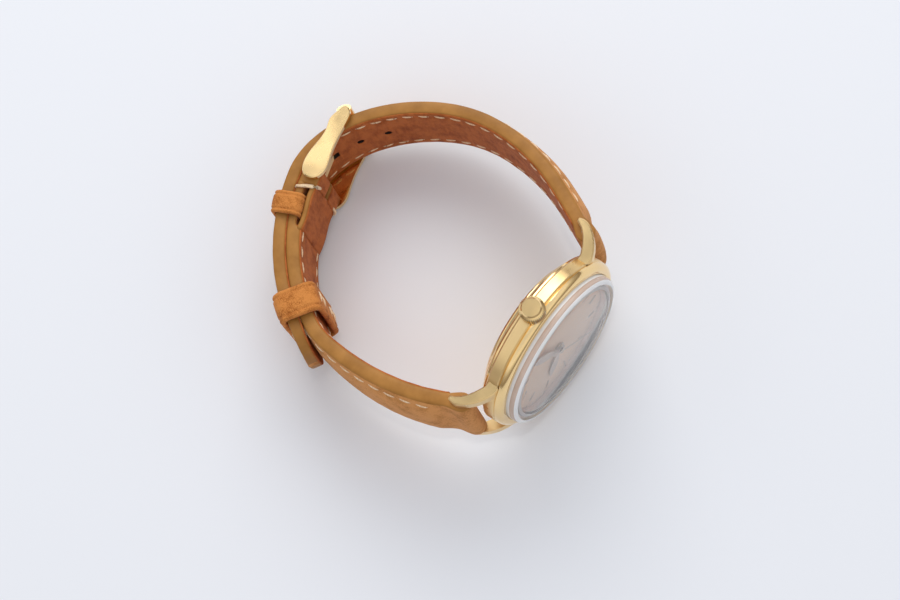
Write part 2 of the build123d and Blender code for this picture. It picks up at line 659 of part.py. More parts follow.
ESCAPE_TIP, ESCAPE_ROOT = 2.2, 1.75
with BuildPart() as escape_wheel:
    with BuildSketch(Plane.XY.offset(ESCAPE_LOW)):
        with Locations(ESCAPE):
            Circle(ESCAPE_ROOT)
            with PolarLocations(0, 15):
                Polygon(
                    polar(ESCAPE_ROOT - 0.1, -4),
                    polar(ESCAPE_TIP, 3),
                    polar(ESCAPE_TIP, 6),
                    polar(ESCAPE_ROOT - 0.1, 9),
                    align=None,
                )
            with PolarLocations(1.05, 4):
                Circle(0.42, mode=Mode.SUBTRACT)
    extrude(amount=WHEEL_T)
    escape_phase = in_mesh(CENTRE, FOURTH_TEETH, 0, ESCAPE, ESCAPE_LEAVES)
    disc(0.16, PIVOT_LOW + 0.2, 2, ESCAPE)
    gear(ESCAPE_LEAVES, FOURTH_M, FOURTH_LOW - 0.04, 0.2, ESCAPE, escape_phase)
    disc(PIVOT_R, PIVOT_LOW, PIVOT_HIGH - PIVOT_LOW, ESCAPE)
keep(escape_wheel.part, "escape_wheel")

with BuildPart() as pallet_fork:
    fork_plane = Plane((PALLET[0], PALLET[1], ESCAPE_LOW + 0.02)).rotated((0, 0, ESCAPE_LINE))
    with BuildSketch(fork_plane):
        lower = ((-0.3, -0.25), (1.05, -0.12), (1.05, -0.28), (1.3, -0.28), (1.3, -0.1), (1.12, -0.1))
        Polygon(*lower, *((x, -y) for x, y in reversed(lower)), align=None)
        for side in (1, -1):
            Polygon(
                (0, 0.2 * side),
                (-0.25, 1.8 * side),
                (-0.78, 1.92 * side),
                (-0.78, 1.64 * side),
                (-0.42, 1.4 * side),
                (-0.3, 0),
                align=None,
            )
        Circle(0.35)
    extrude(amount=WHEEL_T)
    disc(PIVOT_R, -2.78, PIVOT_HIGH + 2.78, PALLET)
keep(pallet_fork.part, "pallet_fork")

BALANCE_R = 4.15
with BuildPart() as balance_wheel:
    with BuildSketch(Plane.XY.offset(-3.2)):
        with Locations(BALANCE):
            Circle(BALANCE_R)
            Circle(BALANCE_R - 0.5, mode=Mode.SUBTRACT)
            Circle(0.6)
            with PolarLocations(BALANCE_R / 2, 3, start_angle=20):
                Rectangle(BALANCE_R - 0.4, 0.4)
    extrude(amount=0.35)
    disc(0.25, COCK_FRONT + 0.05, PLATE_BACK - COCK_FRONT - 0.1, BALANCE)
    disc(PIVOT_R, COCK_FRONT - 0.25, PIVOT_HIGH - COCK_FRONT + 0.25, BALANCE)
    disc(0.85, -2.5, 0.12, BALANCE)
    pin_at = (BALANCE[0] - polar(0.72, ESCAPE_LINE)[0], BALANCE[1] - polar(0.72, ESCAPE_LINE)[1])
    disc(0.07, -2.38, 0.24, pin_at)
keep(balance_wheel.part, "balance_wheel")

with BuildPart() as hairspring:
    with BuildSketch(Plane.XY.offset(-3.5)):
        with Locations(BALANCE):
            Polygon(*spiral(0.75, 2.4, 8, 0.07), align=None)
    extrude(amount=0.18)
keep(hairspring.part, "hairspring")

# ---------------------------------------------------------------- movement: motion work
with BuildPart() as cannon_pinion:
    gear(CANNON_LEAVES, MINUTE_M, MOTION_LOW, 0.18)
    disc(0.62, MOTION_LOW, MINUTE_Z + HAND_T - MOTION_LOW)
    disc(0.45 + RUNNING, MOTION_LOW, 3, CENTRE, Mode.SUBTRACT)
keep(cannon_pinion.part, "cannon_pinion")

minute_phase = in_mesh(CENTRE, CANNON_LEAVES, 0, MINUTE, MINUTE_TEETH)
with BuildPart() as minute_wheel:
    gear(MINUTE_TEETH, MINUTE_M, MOTION_LOW, 0.16, MINUTE, minute_phase)
    gear(MINUTE_LEAVES, HOUR_M, MOTION_LOW + 0.16, 0.2, MINUTE)
    disc(0.25 + RUNNING, MOTION_LOW, 1, MINUTE, Mode.SUBTRACT)
keep(minute_wheel.part, "minute_wheel")

hour_phase = in_mesh(MINUTE, MINUTE_LEAVES, 0, CENTRE, HOUR_TEETH)
with BuildPart() as hour_wheel:
    gear(HOUR_TEETH, HOUR_M, 0.17, 0.14, CENTRE, hour_phase)
    disc(0.95, 0.17, HOUR_Z + HAND_T - 0.17)
    disc(0.62 + RUNNING, 0.17, 3, CENTRE, Mode.SUBTRACT)
keep(hour_wheel.part, "hour_wheel")

setting_phase = in_mesh(MINUTE, MINUTE_TEETH, minute_phase, SETTING, SETTING_TEETH)
with BuildPart() as setting_wheel:
    gear(SETTING_TEETH, MINUTE_M, MOTION_LOW, 0.16, SETTING, setting_phase)
    disc(0.25 + RUNNING, MOTION_LOW, 1, SETTING, Mode.SUBTRACT)
keep(setting_wheel.part, "setting_wheel")

# ---------------------------------------------------------------- winding and setting work
STEM_AXIS = Axis((0, 0, STEM_Z), (1, 0, 0))


def stem_ring(inner, outer, start, end):
    """A ring turned about the winding stem."""
    with BuildSketch(Plane.XZ) as section:
        near, far = STEM_Z + inner, STEM_Z + outer
        Polygon((start, near), (end, near), (end, far), (start, far), align=None)
    revolve(section.sketch, axis=STEM_AXIS)


COLLAR_START = 18.1
with BuildPart() as crown_tube:
    stem_ring(STEM_R + RUNNING, TUBE_R, CASE_BORE_R, COLLAR_START)
    stem_ring(STEM_R + RUNNING, COLLAR_R, COLLAR_START, COLLAR_START + 1.8)
keep(crown_tube.part, "crown_tube")

with BuildPart() as winding_stem:
    stem_ring(0, STEM_R, 7.4, 10.75)
    stem_ring(0, 0.25, 6.9, 20.6)
    stem_ring(0, STEM_R, 11.35, 20.6)
keep(winding_stem.part, "winding_stem")


def stem_pinion(low, height, outer, leaves):
    """A pinion with straight leaves running along the stem, bored to slide on it."""
    with BuildSketch(Plane.YZ.offset(low)) as section:
        with Locations((0, STEM_Z)):
            Circle(outer - 0.22)
            with PolarLocations(outer - 0.16, leaves, start_angle=180 / leaves):
                Rectangle(0.32, 0.17)
            Circle(STEM_R + RUNNING, mode=Mode.SUBTRACT)
    extrude(section.sketch, amount=height)


with BuildPart() as winding_pinion:
    stem_pinion(8.75, 0.9, 0.98, WINDING_LEAVES)
keep(winding_pinion.part, "winding_pinion")

with BuildPart() as sliding_pinion:
    stem_pinion(7.5, 1.15, 0.92, WINDING_LEAVES)
    with BuildSketch(Plane.YZ.offset(8.0)):
        with Locations((0, STEM_Z)):
            Circle(2)
            Circle(0.65, mode=Mode.SUBTRACT)
    extrude(amount=0.3, mode=Mode.SUBTRACT)
keep(sliding_pinion.part, "sliding_pinion")

with BuildPart() as setting_lever:
    with BuildSketch(Plane.XY.offset(PLATE_TOP + 0.02)):
        with BuildLine():
            Polyline(LEVER_AT, (11.05, 0.0))
        trace(line_width=0.7)
        with Locations(LEVER_AT, (11.05, 0.0)):
            Circle(0.4)
        with Locations(LEVER_AT):
            Circle(0.2, mode=Mode.SUBTRACT)
    extrude(amount=0.25)
    disc(0.15, STEM_Z + 0.3, PLATE_TOP + 0.02 - STEM_Z - 0.3, (11.05, 0.0))
keep(setting_lever.part, "setting_lever")

with BuildPart() as yoke:
    with BuildSketch(Plane.XY.offset(PLATE_TOP + 0.02)):
        with BuildLine():
            Polyline(YOKE_AT, (8.15, 0.8))
        trace(line_width=0.6)
        with Locations(YOKE_AT):
            Circle(0.5)
            Circle(0.2, mode=Mode.SUBTRACT)
    extrude(amount=0.25)
    disc(0.1, STEM_Z, PLATE_TOP + 0.27 - STEM_Z, (8.15, 0.82))
keep(yoke.part, "yoke")

with BuildPart() as crown:
    with BuildSketch(Plane.XZ):
        Polygon(
            (CROWN_START, STEM_Z),
            (CROWN_START, STEM_Z + 2.1),
            (CROWN_START + 0.25, STEM_Z + CROWN_R),
            (CROWN_END - 0.75, STEM_Z + CROWN_R),
            (CROWN_END - 0.3, STEM_Z + 1.98),
            (CROWN_END, STEM_Z + 1.75),
            (CROWN_END, STEM_Z),
            align=None,
        )
    revolve(axis=STEM_AXIS)
    with BuildSketch(Plane.YZ.offset(CROWN_START)):
        with Locations((0, STEM_Z)):
            with PolarLocations(0, CROWN_TEETH):
                Polygon((CROWN_R - 0.32, 0), (CROWN_R + 0.15, -0.14), (CROWN_R + 0.15, 0.14), align=None)
    extrude(amount=CROWN_END - CROWN_START, mode=Mode.SUBTRACT)
    with BuildSketch(Plane.YZ.offset(CROWN_START)):
        with Locations((0, STEM_Z)):
            Circle(GASKET_R + RUNNING)
    extrude(amount=2.0, mode=Mode.SUBTRACT)
keep(crown.part, "crown")

with BuildPart() as crown_gasket:
    stem_ring(COLLAR_R + RUNNING, GASKET_R, CROWN_START + 0.15, CROWN_START + 0.65)
keep(crown_gasket.part, "crown_gasket")

# ---------------------------------------------------------------- strap
LONG_SHAPE = (  # middle of the long strap from its spring bar towards the clasp, (Y, Z)
    (-BAR_Y, BAR_Z),
    (-22.9, -11.4),
    (-26.0, -18.9),
    (-27.7, -27.5),
    (-27.2, -36.5),
    (-23.8, -44.9),
    (-18.6, -51.7),
    (-12.2, -56.7),
    (-5.0, -59.3),
)
SHORT_SHAPE = (  # middle of the short strap from its spring bar towards the buckle, (Y, Z)
    (BAR_Y, BAR_Z),
    (22.3, -10.8),
    (24.2, -17.8),
    (25.0, -24.6),
    (24.9, -31.0),
)
LONG_ARC = (-77.0, -32.0)  # directions, from the clasp's centre, where the arcs begin and end
TAIL_STRAIGHT = 7.8  # the long strap's free end runs straight on from its arc
TIP_LENGTH = 6.0  # rounded end of the tail
SHORT_ARC = (-27.0, -77.0)
FLAP_END = -58.0  # direction where the leather folded back round the buckle's bar joins the lining


def on_clasp(radius, direction):
    """A point of the clasp's arc, (Y, Z)."""
    return (CLASP_Y + polar(radius, direction)[0], CLASP_Z + polar(radius, direction)[1])


def layer(shape, arc, radius, outward, inner_shift, outer_shift, straight=0):
    """One leather layer's side view: a free curve that runs into an arc about the clasp's centre.

    The shifts say how far the layer's two faces stand outside the strap's middle line. The arc may
    run straight on at its end.
    """
    begin, end = arc
    turn = 1 if end > begin else -1
    start_way = (shape[1][0] - shape[0][0], shape[1][1] - shape[0][1])
    ways = (start_way, polar(1, begin + 90 * turn))
    middle = Spline(*shape, on_clasp(radius, begin), tangents=ways, mode=Mode.PRIVATE)
    count = 10
    faces = []
    for shift in (inner_shift, outer_shift):
        places = []
        for number in range(count + 1):
            at, along = middle @ (number / count), middle % (number / count)
            places.append((at.X + outward * shift * along.Y, at.Y - outward * shift * along.X))
        ends = ((middle % 0).X, (middle % 0).Y), ((middle % 1).X, (middle % 1).Y)
        curve = Spline(*places, tangents=ends)
        half_way = on_clasp(radius + shift, (begin + end) / 2)
        rim = ThreePointArc(curve @ 1, half_way, on_clasp(radius + shift, end))
        if straight:
            rim = Line(rim @ 1, rim @ 1 + (rim % 1) * straight)
        faces.append((curve, rim))
    Line(faces[0][0] @ 0, faces[1][0] @ 0)
    Line(faces[0][1] @ 1, faces[1][1] @ 1)


def taper():
    """Narrows a strap from its width at the lugs to its width at the buckle."""
    with BuildSketch(Plane.XZ) as front_view:
        one_side = ((LUG_HALF, 0), (LUG_HALF, -8), (END_HALF, -38), (END_HALF, -64))
        Polygon(*one_side, *((-x, z) for x, z in reversed(one_side)), align=None)
    extrude(front_view.sketch, amount=45, both=True, mode=Mode.INTERSECT)


HOLE_STEP = math.degrees(5.6 / TAIL_R)
TAIL_HOLES = tuple(-66.3 + HOLE_STEP * number for number in range(4))
FREE_HOLES = ((-13.1, -56.0, -119), (-17.7, -52.4, -128))  # short of the buckle: Y, Z, outward direction


def strap_holes():
    """The unused adjusting holes of the long strap."""
    tail_holes = [(*on_clasp(TAIL_R, direction), direction) for direction in TAIL_HOLES]
    for along, down, direction in (*tail_holes, *FREE_HOLES):
        out = polar(1, direction)
        with BuildSketch(Plane((0, along, down), x_dir=(1, 0, 0), z_dir=(0, out[0], out[1]))) as hole:
            Circle(0.75)
        extrude(hole.sketch, amount=2, both=True, mode=Mode.SUBTRACT)


def tongue_slot():
    """The hole that the buckle's tongue comes out through, long enough for its swing."""
    with BuildSketch(Plane.YZ) as sweep_area:
        Polygon((PIN_Y - 2.4, -56.33), (-11.7, -58.7), (-11.7, -62.5), (PIN_Y - 2.4, -59.4), align=None)
    extrude(sweep_area.sketch, amount=TONGUE_HALF + 0.1, both=True, mode=Mode.SUBTRACT)


def tail_tip():
    """Rounds the long strap's free end in plan."""
    end = LONG_ARC[1]
    out, along = polar(1, end), polar(1, end + 90)
    reach = TAIL_STRAIGHT - TIP_LENGTH
    middle = on_clasp(TAIL_R, end)
    root = (0, middle[0] + reach * along[0], middle[1] + reach * along[1])
    with BuildSketch(Plane(root, x_dir=(-1, 0, 0), z_dir=(0, out[0], out[1]))) as corners:
        with Locations((0, TIP_LENGTH)):
            Rectangle(3 * END_HALF, 2 * TIP_LENGTH)
        Ellipse(END_HALF, TIP_LENGTH, mode=Mode.SUBTRACT)
    extrude(corners.sketch, amount=4, both=True, mode=Mode.SUBTRACT)


LONG_SPLIT = LONG_T * (0.5 - OUTER_SHARE)
with BuildPart() as strap_long_outer:
    with BuildSketch(Plane.YZ):
        with BuildLine():
            layer(LONG_SHAPE, LONG_ARC, TAIL_R, 1, LONG_SPLIT, LONG_T / 2, TAIL_STRAIGHT)
        make_face()
        with Locations((-BAR_Y, BAR_Z)):
            Circle(STRAP_EYE_R)
            Circle(BAR_R + RUNNING, mode=Mode.SUBTRACT)
    extrude(amount=LUG_HALF, both=True)
    taper()
    tail_tip()
    strap_holes()
    tongue_slot()
keep(strap_long_outer.part, "strap_long_outer")

with BuildPart() as strap_long_lining:
    with BuildSketch(Plane.YZ):
        with BuildLine():
            layer(LONG_SHAPE, LONG_ARC, TAIL_R, 1, -LONG_T / 2, LONG_SPLIT, TAIL_STRAIGHT)
        make_face()
        with Locations((-BAR_Y, BAR_Z)):
            Circle(STRAP_EYE_R + 0.02, mode=Mode.SUBTRACT)
    extrude(amount=LUG_HALF, both=True)
    taper()
    tail_tip()
    strap_holes()
    tongue_slot()
keep(strap_long_lining.part, "strap_long_lining")


def buckle_notch():
    """The gap in the short strap's rolled end where the tongue turns on its bar."""
    with BuildSketch(Plane.YZ) as notch:
        with Locations((PIN_Y, PIN_Z)):
            Rectangle(4.4, 5.0)
    extrude(notch.sketch, amount=TONGUE_HALF + 0.3, both=True, mode=Mode.SUBTRACT)


SHORT_SPLIT = SHORT_T * (0.5 - OUTER_SHARE)


def folded_flap():
    """Side view of the leather that is folded back round the bar, with room for the keeper under it."""
    inner_r, outer_r = SHORT_R - SHORT_T / 2, SHORT_R + SHORT_SPLIT
    inner_way = ((inner_r, FLAP_END), (34.2, -64.0), (34.1, -70.0), (33.88, -76.7))
    outer_way = ((outer_r, FLAP_END), (35.14, -62.4), (35.05, -69.5), (34.82, -76.7))
    with BuildLine() as outline:
        near = Spline(*(on_clasp(*place) for place in inner_way))
        far = Spline(*(on_clasp(*place) for place in outer_way))
        Line(near @ 0, far @ 0)
        Line(near @ 1, far @ 1)
    make_face(outline.edges())


with BuildPart() as strap_short_outer:
    with BuildSketch(Plane.YZ):
        with BuildLine():
            layer(SHORT_SHAPE, SHORT_ARC, SHORT_R, -1, SHORT_SPLIT, SHORT_T / 2)
        make_face()
        for at, bore in (((BAR_Y, BAR_Z), BAR_R), ((PIN_Y, PIN_Z), PIN_R)):
            with Locations(at):
                Circle(STRAP_EYE_R)
                Circle(bore + RUNNING, mode=Mode.SUBTRACT)
    extrude(amount=LUG_HALF, both=True)
    taper()
    buckle_notch()
keep(strap_short_outer.part, "strap_short_outer")

with BuildPart() as strap_short_lining:
    with BuildSketch(Plane.YZ):
        with BuildLine():
            layer(SHORT_SHAPE, (SHORT_ARC[0], FLAP_END), SHORT_R, -1, -SHORT_T / 2, SHORT_SPLIT)
        make_face()
        folded_flap()
        with Locations((BAR_Y, BAR_Z), (PIN_Y, PIN_Z)):
            Circle(STRAP_EYE_R + 0.02, mode=Mode.SUBTRACT)
    extrude(amount=LUG_HALF, both=True)
    taper()
    buckle_notch()
keep(strap_short_lining.part, "strap_short_lining")

KEEPER_GAP = 0.25
KEEPER_OUTER_R = TAIL_R + LONG_T / 2 + KEEPER_GAP  # inside of both keepers' outer walls
FIXED_WALL = 0.9
FIXED_INNER_R = SHORT_R + SHORT_SPLIT - 0.06  # the fixed keeper passes between the strap and its flap
FIXED_HALF = 8.5
FLOATING_WALL = 1.12
FLOATING_INNER_R = 33.9  # the floating keeper hangs loose on the inside
FLOATING_HALF = 8.75


def arc_band(inner_r, outer_r, begin, end):
    """The side view of a band about the clasp's centre."""
    mid = (begin + end) / 2
    with BuildLine() as outline:
        near = ThreePointArc(on_clasp(inner_r, begin), on_clasp(inner_r, mid), on_clasp(inner_r, end))
        far = ThreePointArc(on_clasp(outer_r, begin), on_clasp(outer_r, mid), on_clasp(outer_r, end))
        Line(near @ 0, far @ 0)
        Line(near @ 1, far @ 1)
    make_face(outline.edges())


def keeper_loop(begin, end, inner_r, half, wall):
    """A leather loop around both straps, with rounded corners."""
    with BuildPart(mode=Mode.PRIVATE) as block:
        with BuildSketch(Plane.YZ):
            arc_band(inner_r - wall, KEEPER_OUTER_R + wall, begin, end)
        extrude(amount=half + wall, both=True)
        fillet(block.edges().filter_by(GeomType.CIRCLE), wall + 0.9)
    with BuildPart(mode=Mode.PRIVATE) as opening:
        with BuildSketch(Plane.YZ):
            arc_band(inner_r, KEEPER_OUTER_R, begin - 1, end + 1)
        extrude(amount=half, both=True)
        fillet(opening.edges().filter_by(GeomType.CIRCLE), 0.9)
    add(block.part)
    add(opening.part, mode=Mode.SUBTRACT)


with BuildPart() as keeper_fixed:
    keeper_loop(-69.3, -62.6, FIXED_INNER_R, FIXED_HALF, FIXED_WALL)
keep(keeper_fixed.part, "keeper_fixed")

with BuildPart() as keeper_floating:
    keeper_loop(-40.0, -30.6, FLOATING_INNER_R, FLOATING_HALF, FLOATING_WALL)
keep(keeper_floating.part, "keeper_floating")

# ---------------------------------------------------------------- buckle
with BuildPart() as buckle_frame:
    for side in (ARM_IN, -ARM_OUT):
        with BuildSketch(Plane.YZ.offset(side)):
            with BuildLine():
                Spline(
                    (0.6, -55.7),
                    (-0.4, -54.1),
                    (-2.5, -53.6),
                    (-5.6, -54.5),
                    (-9.0, -55.4),
                    (-13.0, -56.05),
                    (-14.8, -56.9),
                    (-15.1, -57.9),
                    (-13.4, -58.75),
                    (-11.3, -59.1),
                    (-9.4, -58.5),
                    (-5.6, -58.3),
                    (-1.6, -58.1),
                    (0.2, -57.1),
                    periodic=True,
                )
            make_face()
        extrude(amount=ARM_OUT - ARM_IN)
    outer_faces = buckle_frame.faces().filter_by(Axis.X).sort_by(Axis.X)
    chamfer(outer_faces[0].edges() + outer_faces[-1].edges(), 0.2)
    with BuildSketch(Plane.YZ):
        with Locations((CROSSBAR_Y, CROSSBAR_Z)):
            Ellipse(1.45, 0.8, rotation=-38)
    extrude(amount=ARM_IN + 0.4, both=True)
    with BuildSketch(Plane.YZ):
        with Locations((PIN_Y, PIN_Z)):
            Circle(PIN_R + RUNNING)
    extrude(amount=ARM_IN + 0.7, both=True, mode=Mode.SUBTRACT)
keep(buckle_frame.part, "buckle_frame")

with BuildPart() as buckle_bar:
    with BuildSketch(Plane.YZ):
        with Locations((PIN_Y, PIN_Z)):
            Circle(PIN_R)
    extrude(amount=ARM_IN + 0.65, both=True)
keep(buckle_bar.part, "buckle_bar")

with BuildPart() as buckle_tongue:
    with BuildSketch(Plane.YZ):
        with Locations((PIN_Y, PIN_Z)):
            Circle(1.3)
        Polygon(
            (PIN_Y + 0.2, PIN_Z - 1.2),
            (PIN_Y - 0.4, PIN_Z + 0.1),
            (-14.6, -59.62),
            (-16.0, -59.9),
            (-15.9, -60.5),
            (-14.0, -60.5),
            (-8.0, -58.95),
            align=None,
        )
        with Locations((PIN_Y, PIN_Z)):
            Circle(PIN_R + RUNNING, mode=Mode.SUBTRACT)
    extrude(amount=TONGUE_HALF, both=True)
keep(buckle_tongue.part, "buckle_tongue")

for label, twelve in (("spring_bar_12", 1), ("spring_bar_6", -1)):
    with BuildPart() as spring_bar:
        with BuildSketch(Plane.YZ):
            with Locations((BAR_Y * twelve, BAR_Z)):
                Circle(BAR_R)
        extrude(amount=LUG_IN - 0.6, both=True)
        with BuildSketch(Plane.YZ):
            with Locations((BAR_Y * twelve, BAR_Z)):
                Circle(BAR_TIP_R)
        extrude(amount=LUG_IN + 1.1, both=True)
        with BuildSketch(Plane.YZ.offset(LUG_IN - 0.3)):
            with Locations((BAR_Y * twelve, BAR_Z)):
                Circle(0.62)
        extrude(amount=0.2)
        with BuildSketch(Plane.YZ.offset(0.1 - LUG_IN)):
            with Locations((BAR_Y * twelve, BAR_Z)):
                Circle(0.62)
        extrude(amount=0.2)
    keep(spring_bar.part, label)

# ---------------------------------------------------------------- resting pose
# The watch lies on the edge of its case at nine o'clock and on the buckle's lower arm, so its
# X axis leans away from the vertical by this angle.
LEAN = math.atan2(CASE_R - ARM_OUT, CASE_BACK_Z - CROSSBAR_Z + 0.7)
UPRIGHT = Plane(
    origin=(0, 0, 0),
    x_dir=(-math.sin(LEAN), 0, math.cos(LEAN)),
    z_dir=(math.cos(LEAN), 0, math.sin(LEAN)),
)
turned = {label: part.moved(UPRIGHT.location) for label, part in pieces.items()}
boxes = [part.bounding_box() for part in turned.values()]
low = [min(tuple(box.min)[axis] for box in boxes) for axis in range(3)]
high = [max(tuple(box.max)[axis] for box in boxes) for axis in range(3)]
TO_ORIGIN = Location((-(low[0] + high[0]) / 2, -(low[1] + high[1]) / 2, -low[2]))
for label, part in turned.items():
    resting = part.moved(TO_ORIGIN)
    resting.label = label
    export_step(resting, f"parts/{label}.step")
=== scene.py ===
"""The looks of the wristwatch: metals, strap, stitching, keepers, dial, crystal, floor and light.

Soft pieces are built in the watch's own axes, in millimetres (x towards three o'clock, y towards
twelve, z out of the dial), and turned into the frame by the matrix WATCH, read from the joints.
"""

import json
import math
import bpy
import numpy as np
from mathutils import Matrix, Vector, noise


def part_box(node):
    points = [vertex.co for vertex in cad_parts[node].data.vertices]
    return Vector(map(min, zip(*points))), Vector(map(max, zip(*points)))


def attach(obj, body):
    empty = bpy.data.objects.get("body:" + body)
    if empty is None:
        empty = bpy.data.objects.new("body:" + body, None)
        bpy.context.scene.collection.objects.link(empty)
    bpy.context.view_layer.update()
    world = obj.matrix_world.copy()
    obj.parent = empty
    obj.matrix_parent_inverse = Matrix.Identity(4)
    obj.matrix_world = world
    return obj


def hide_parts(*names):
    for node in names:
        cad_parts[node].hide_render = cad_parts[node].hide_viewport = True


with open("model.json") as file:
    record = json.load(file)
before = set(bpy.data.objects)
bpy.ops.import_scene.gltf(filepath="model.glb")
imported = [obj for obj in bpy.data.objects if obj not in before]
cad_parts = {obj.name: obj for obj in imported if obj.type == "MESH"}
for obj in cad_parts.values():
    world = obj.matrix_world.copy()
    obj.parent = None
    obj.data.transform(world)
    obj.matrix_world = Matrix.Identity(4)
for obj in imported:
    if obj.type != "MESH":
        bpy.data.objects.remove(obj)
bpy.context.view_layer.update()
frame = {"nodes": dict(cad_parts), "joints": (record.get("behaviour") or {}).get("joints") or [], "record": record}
NODES = frame["nodes"]
JOINTS = {joint["name"]: joint for joint in frame["joints"]}

# ---------------------------------------------------------------- the watch's axes
MM = 0.001
OUT = Vector(JOINTS["seconds_turn"]["axis"])
THREE = Vector(JOINTS["crown_turn"]["axis"])
TWELVE = OUT.cross(THREE)
AXES = Matrix((THREE, TWELVE, OUT)).transposed()
WATCH = Matrix.Translation(JOINTS["seconds_turn"]["pos_m"]) @ AXES.to_4x4() @ Matrix.Scale(MM, 4)
TO_WATCH = WATCH.inverted()


def watch_place(position):
    """A place in the frame, in metres, as (x, y, z) in the watch's axes, in millimetres."""
    return TO_WATCH @ Vector(position)


def node_middle(node):
    """The middle of a CAD node's box, in the watch's axes."""
    low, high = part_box(node)
    return watch_place((Vector(low) + Vector(high)) / 2)


CLASP = watch_place(JOINTS["keeper_slide"]["pos_m"])  # centre of the overlapped straps' arc
PIN = watch_place(JOINTS["buckle_pivot"]["pos_m"])  # the buckle's bar
STEM = watch_place(JOINTS["crown_turn"]["pos_m"])
BAR_SIX = node_middle("spring_bar_6")
BAR_TWELVE = node_middle("spring_bar_12")

# ---------------------------------------------------------------- strap sizes, in millimetres
TAIL_R = 39.1  # middle of the long strap on the clasp's arc
SHORT_R = 36.35  # middle of the short strap on the same arc
FLAP_R = 34.4  # middle of the folded flap where it meets the bar
LONG_T = 2.4  # thickness at the edges
SHORT_T = 2.6
LUG_HALF = 8.85  # half width between the lugs
END_HALF = 8.0  # half width at the buckle
TAPER_FROM, TAPER_RUN = -8, 30  # the strap narrows from this z on, over this depth
EYE_R = 1.9  # the leather rolled round a bar
EDGE_ROUND = 0.42
LINING_T = 0.22
LINING_START = 2.6  # the lining begins this far from a spring bar
PAD_LIFT = 1.5  # the padding's height near the lugs
SEAM_DIP = 0.16  # how deep the stitches pull the leather in
LINING_DIP = 0.12
SEAM_HALF = 0.42
STITCH_IN = 1.7  # stitching line from the edge
STITCH_START = 7.5  # the first stitch from a spring bar
STITCH_PITCH = 3.3
STITCH_LENGTH = 2.35
THREAD_R = 0.2
TACK_R = 0.38  # the thick thread of the bar tacks
HOLE_R = 0.7
KEEPER_OUT_R = TAIL_R + LONG_T / 2 + 0.25  # inside of the keepers' outer walls
TAIL_STRAIGHT = 7.8  # the long strap's free end runs straight on from its arc
TIP = 6.0  # rounded end of the long strap
ROLL_DROP = 0.6  # the buckle's bar stands this far inside the short strap's middle line
ROLL_GAP = 0.145  # half of the gap for the tongue, as a share of the half width
FLAP_T = 0.95
TINY = 0.0004  # keeps square roots above nothing at the rolled ends

LONG_SHAPE = (  # middle line from the spring bar towards the clasp, (y, z)
    (BAR_SIX.y, BAR_SIX.z),
    (-22.9, -11.4),
    (-26.0, -18.9),
    (-27.7, -27.5),
    (-27.2, -36.5),
    (-23.8, -44.9),
    (-18.6, -51.7),
    (-12.2, -56.7),
    (-5.0, -59.3),
)
SHORT_SHAPE = (
    (BAR_TWELVE.y, BAR_TWELVE.z),
    (22.3, -10.8),
    (24.2, -17.8),
    (25.0, -24.6),
    (24.9, -31.0),
)
LONG_ARC = (-77, -32)  # directions, from the clasp's centre, where the arcs begin and end
SHORT_ARC = (-27, -77)
FLAP_BENDS = ((35.5, -58), (34.72, -62.5), (34.62, -66), (34.58, -71))  # (radius, direction)
HOLE_PITCH = 5.6
FIRST_HOLE = -66.3
HOLE_STEP = math.degrees(HOLE_PITCH / TAIL_R)
TAIL_HOLES = [FIRST_HOLE + HOLE_STEP * number for number in range(4)]
FREE_HOLES = ((-13.1, -56.0, -119), (-17.7, -52.4, -128))  # (y, z, direction)
FLAP_START = -58  # direction where the flap of folded leather leaves the short strap


# ---------------------------------------------------------------- node materials
def material(name, **sockets):
    """A Principled material; socket names are written with underscores for spaces."""
    made = bpy.data.materials.new(name)
    made.use_nodes = True
    shader = made.node_tree.nodes["Principled BSDF"]
    for socket, value in sockets.items():
        shader.inputs[socket.replace("_", " ")].default_value = value
    return made


def node(mat, kind, **settings):
    """Adds a node to a material or world, and sets its properties and input defaults."""
    made = mat.node_tree.nodes.new(kind)
    for key, value in settings.items():
        if key in made.inputs:
            made.inputs[key].default_value = value
        else:
            setattr(made, key, value)
    return made


def link(mat, source, target):
    """Joins two nodes' sockets."""
    mat.node_tree.links.new(source, target)


def place(mat, stretch=(1, 1, 1)):
    """Object coordinates in millimetres, stretched along the watch's axes."""
    coordinates = node(mat, "ShaderNodeTexCoord")
    turned = node(mat, "ShaderNodeMapping")
    turned.inputs["Rotation"].default_value = AXES.transposed().to_euler()
    link(mat, coordinates.outputs["Object"], turned.inputs["Vector"])
    scaled = node(mat, "ShaderNodeMapping")
    scaled.inputs["Scale"].default_value = [each / MM for each in stretch]
    link(mat, turned.outputs["Vector"], scaled.inputs["Vector"])
    return scaled.outputs["Vector"]


def mottle(mat, where, scale, detail=3.0, roughness=0.6):
    """A noise value at so many cells per millimetre."""
    made = node(mat, "ShaderNodeTexNoise", Scale=scale, Detail=detail, Roughness=roughness)
    link(mat, where, made.inputs["Vector"])
    return made.outputs["Fac"]


def ramp(mat, value, *stops):
    """Turns a value into colours or grey levels, by (position, colour) stops."""
    made = node(mat, "ShaderNodeValToRGB")
    elements = made.color_ramp.elements
    while len(elements) < len(stops):
        elements.new(0.5)
    for element, (position, colour) in zip(elements, stops):
        element.position = position
        element.color = (*colour, 1) if isinstance(colour, tuple) else (colour, colour, colour, 1)
    link(mat, value, made.inputs["Fac"])
    return made.outputs["Color"]


def sum_of(mat, first, second, share):
    """first + share * second, for heights."""
    made = node(mat, "ShaderNodeMath", operation="MULTIPLY_ADD")
    made.inputs[1].default_value = share
    link(mat, second, made.inputs[0])
    link(mat, first, made.inputs[2])
    return made.outputs["Value"]


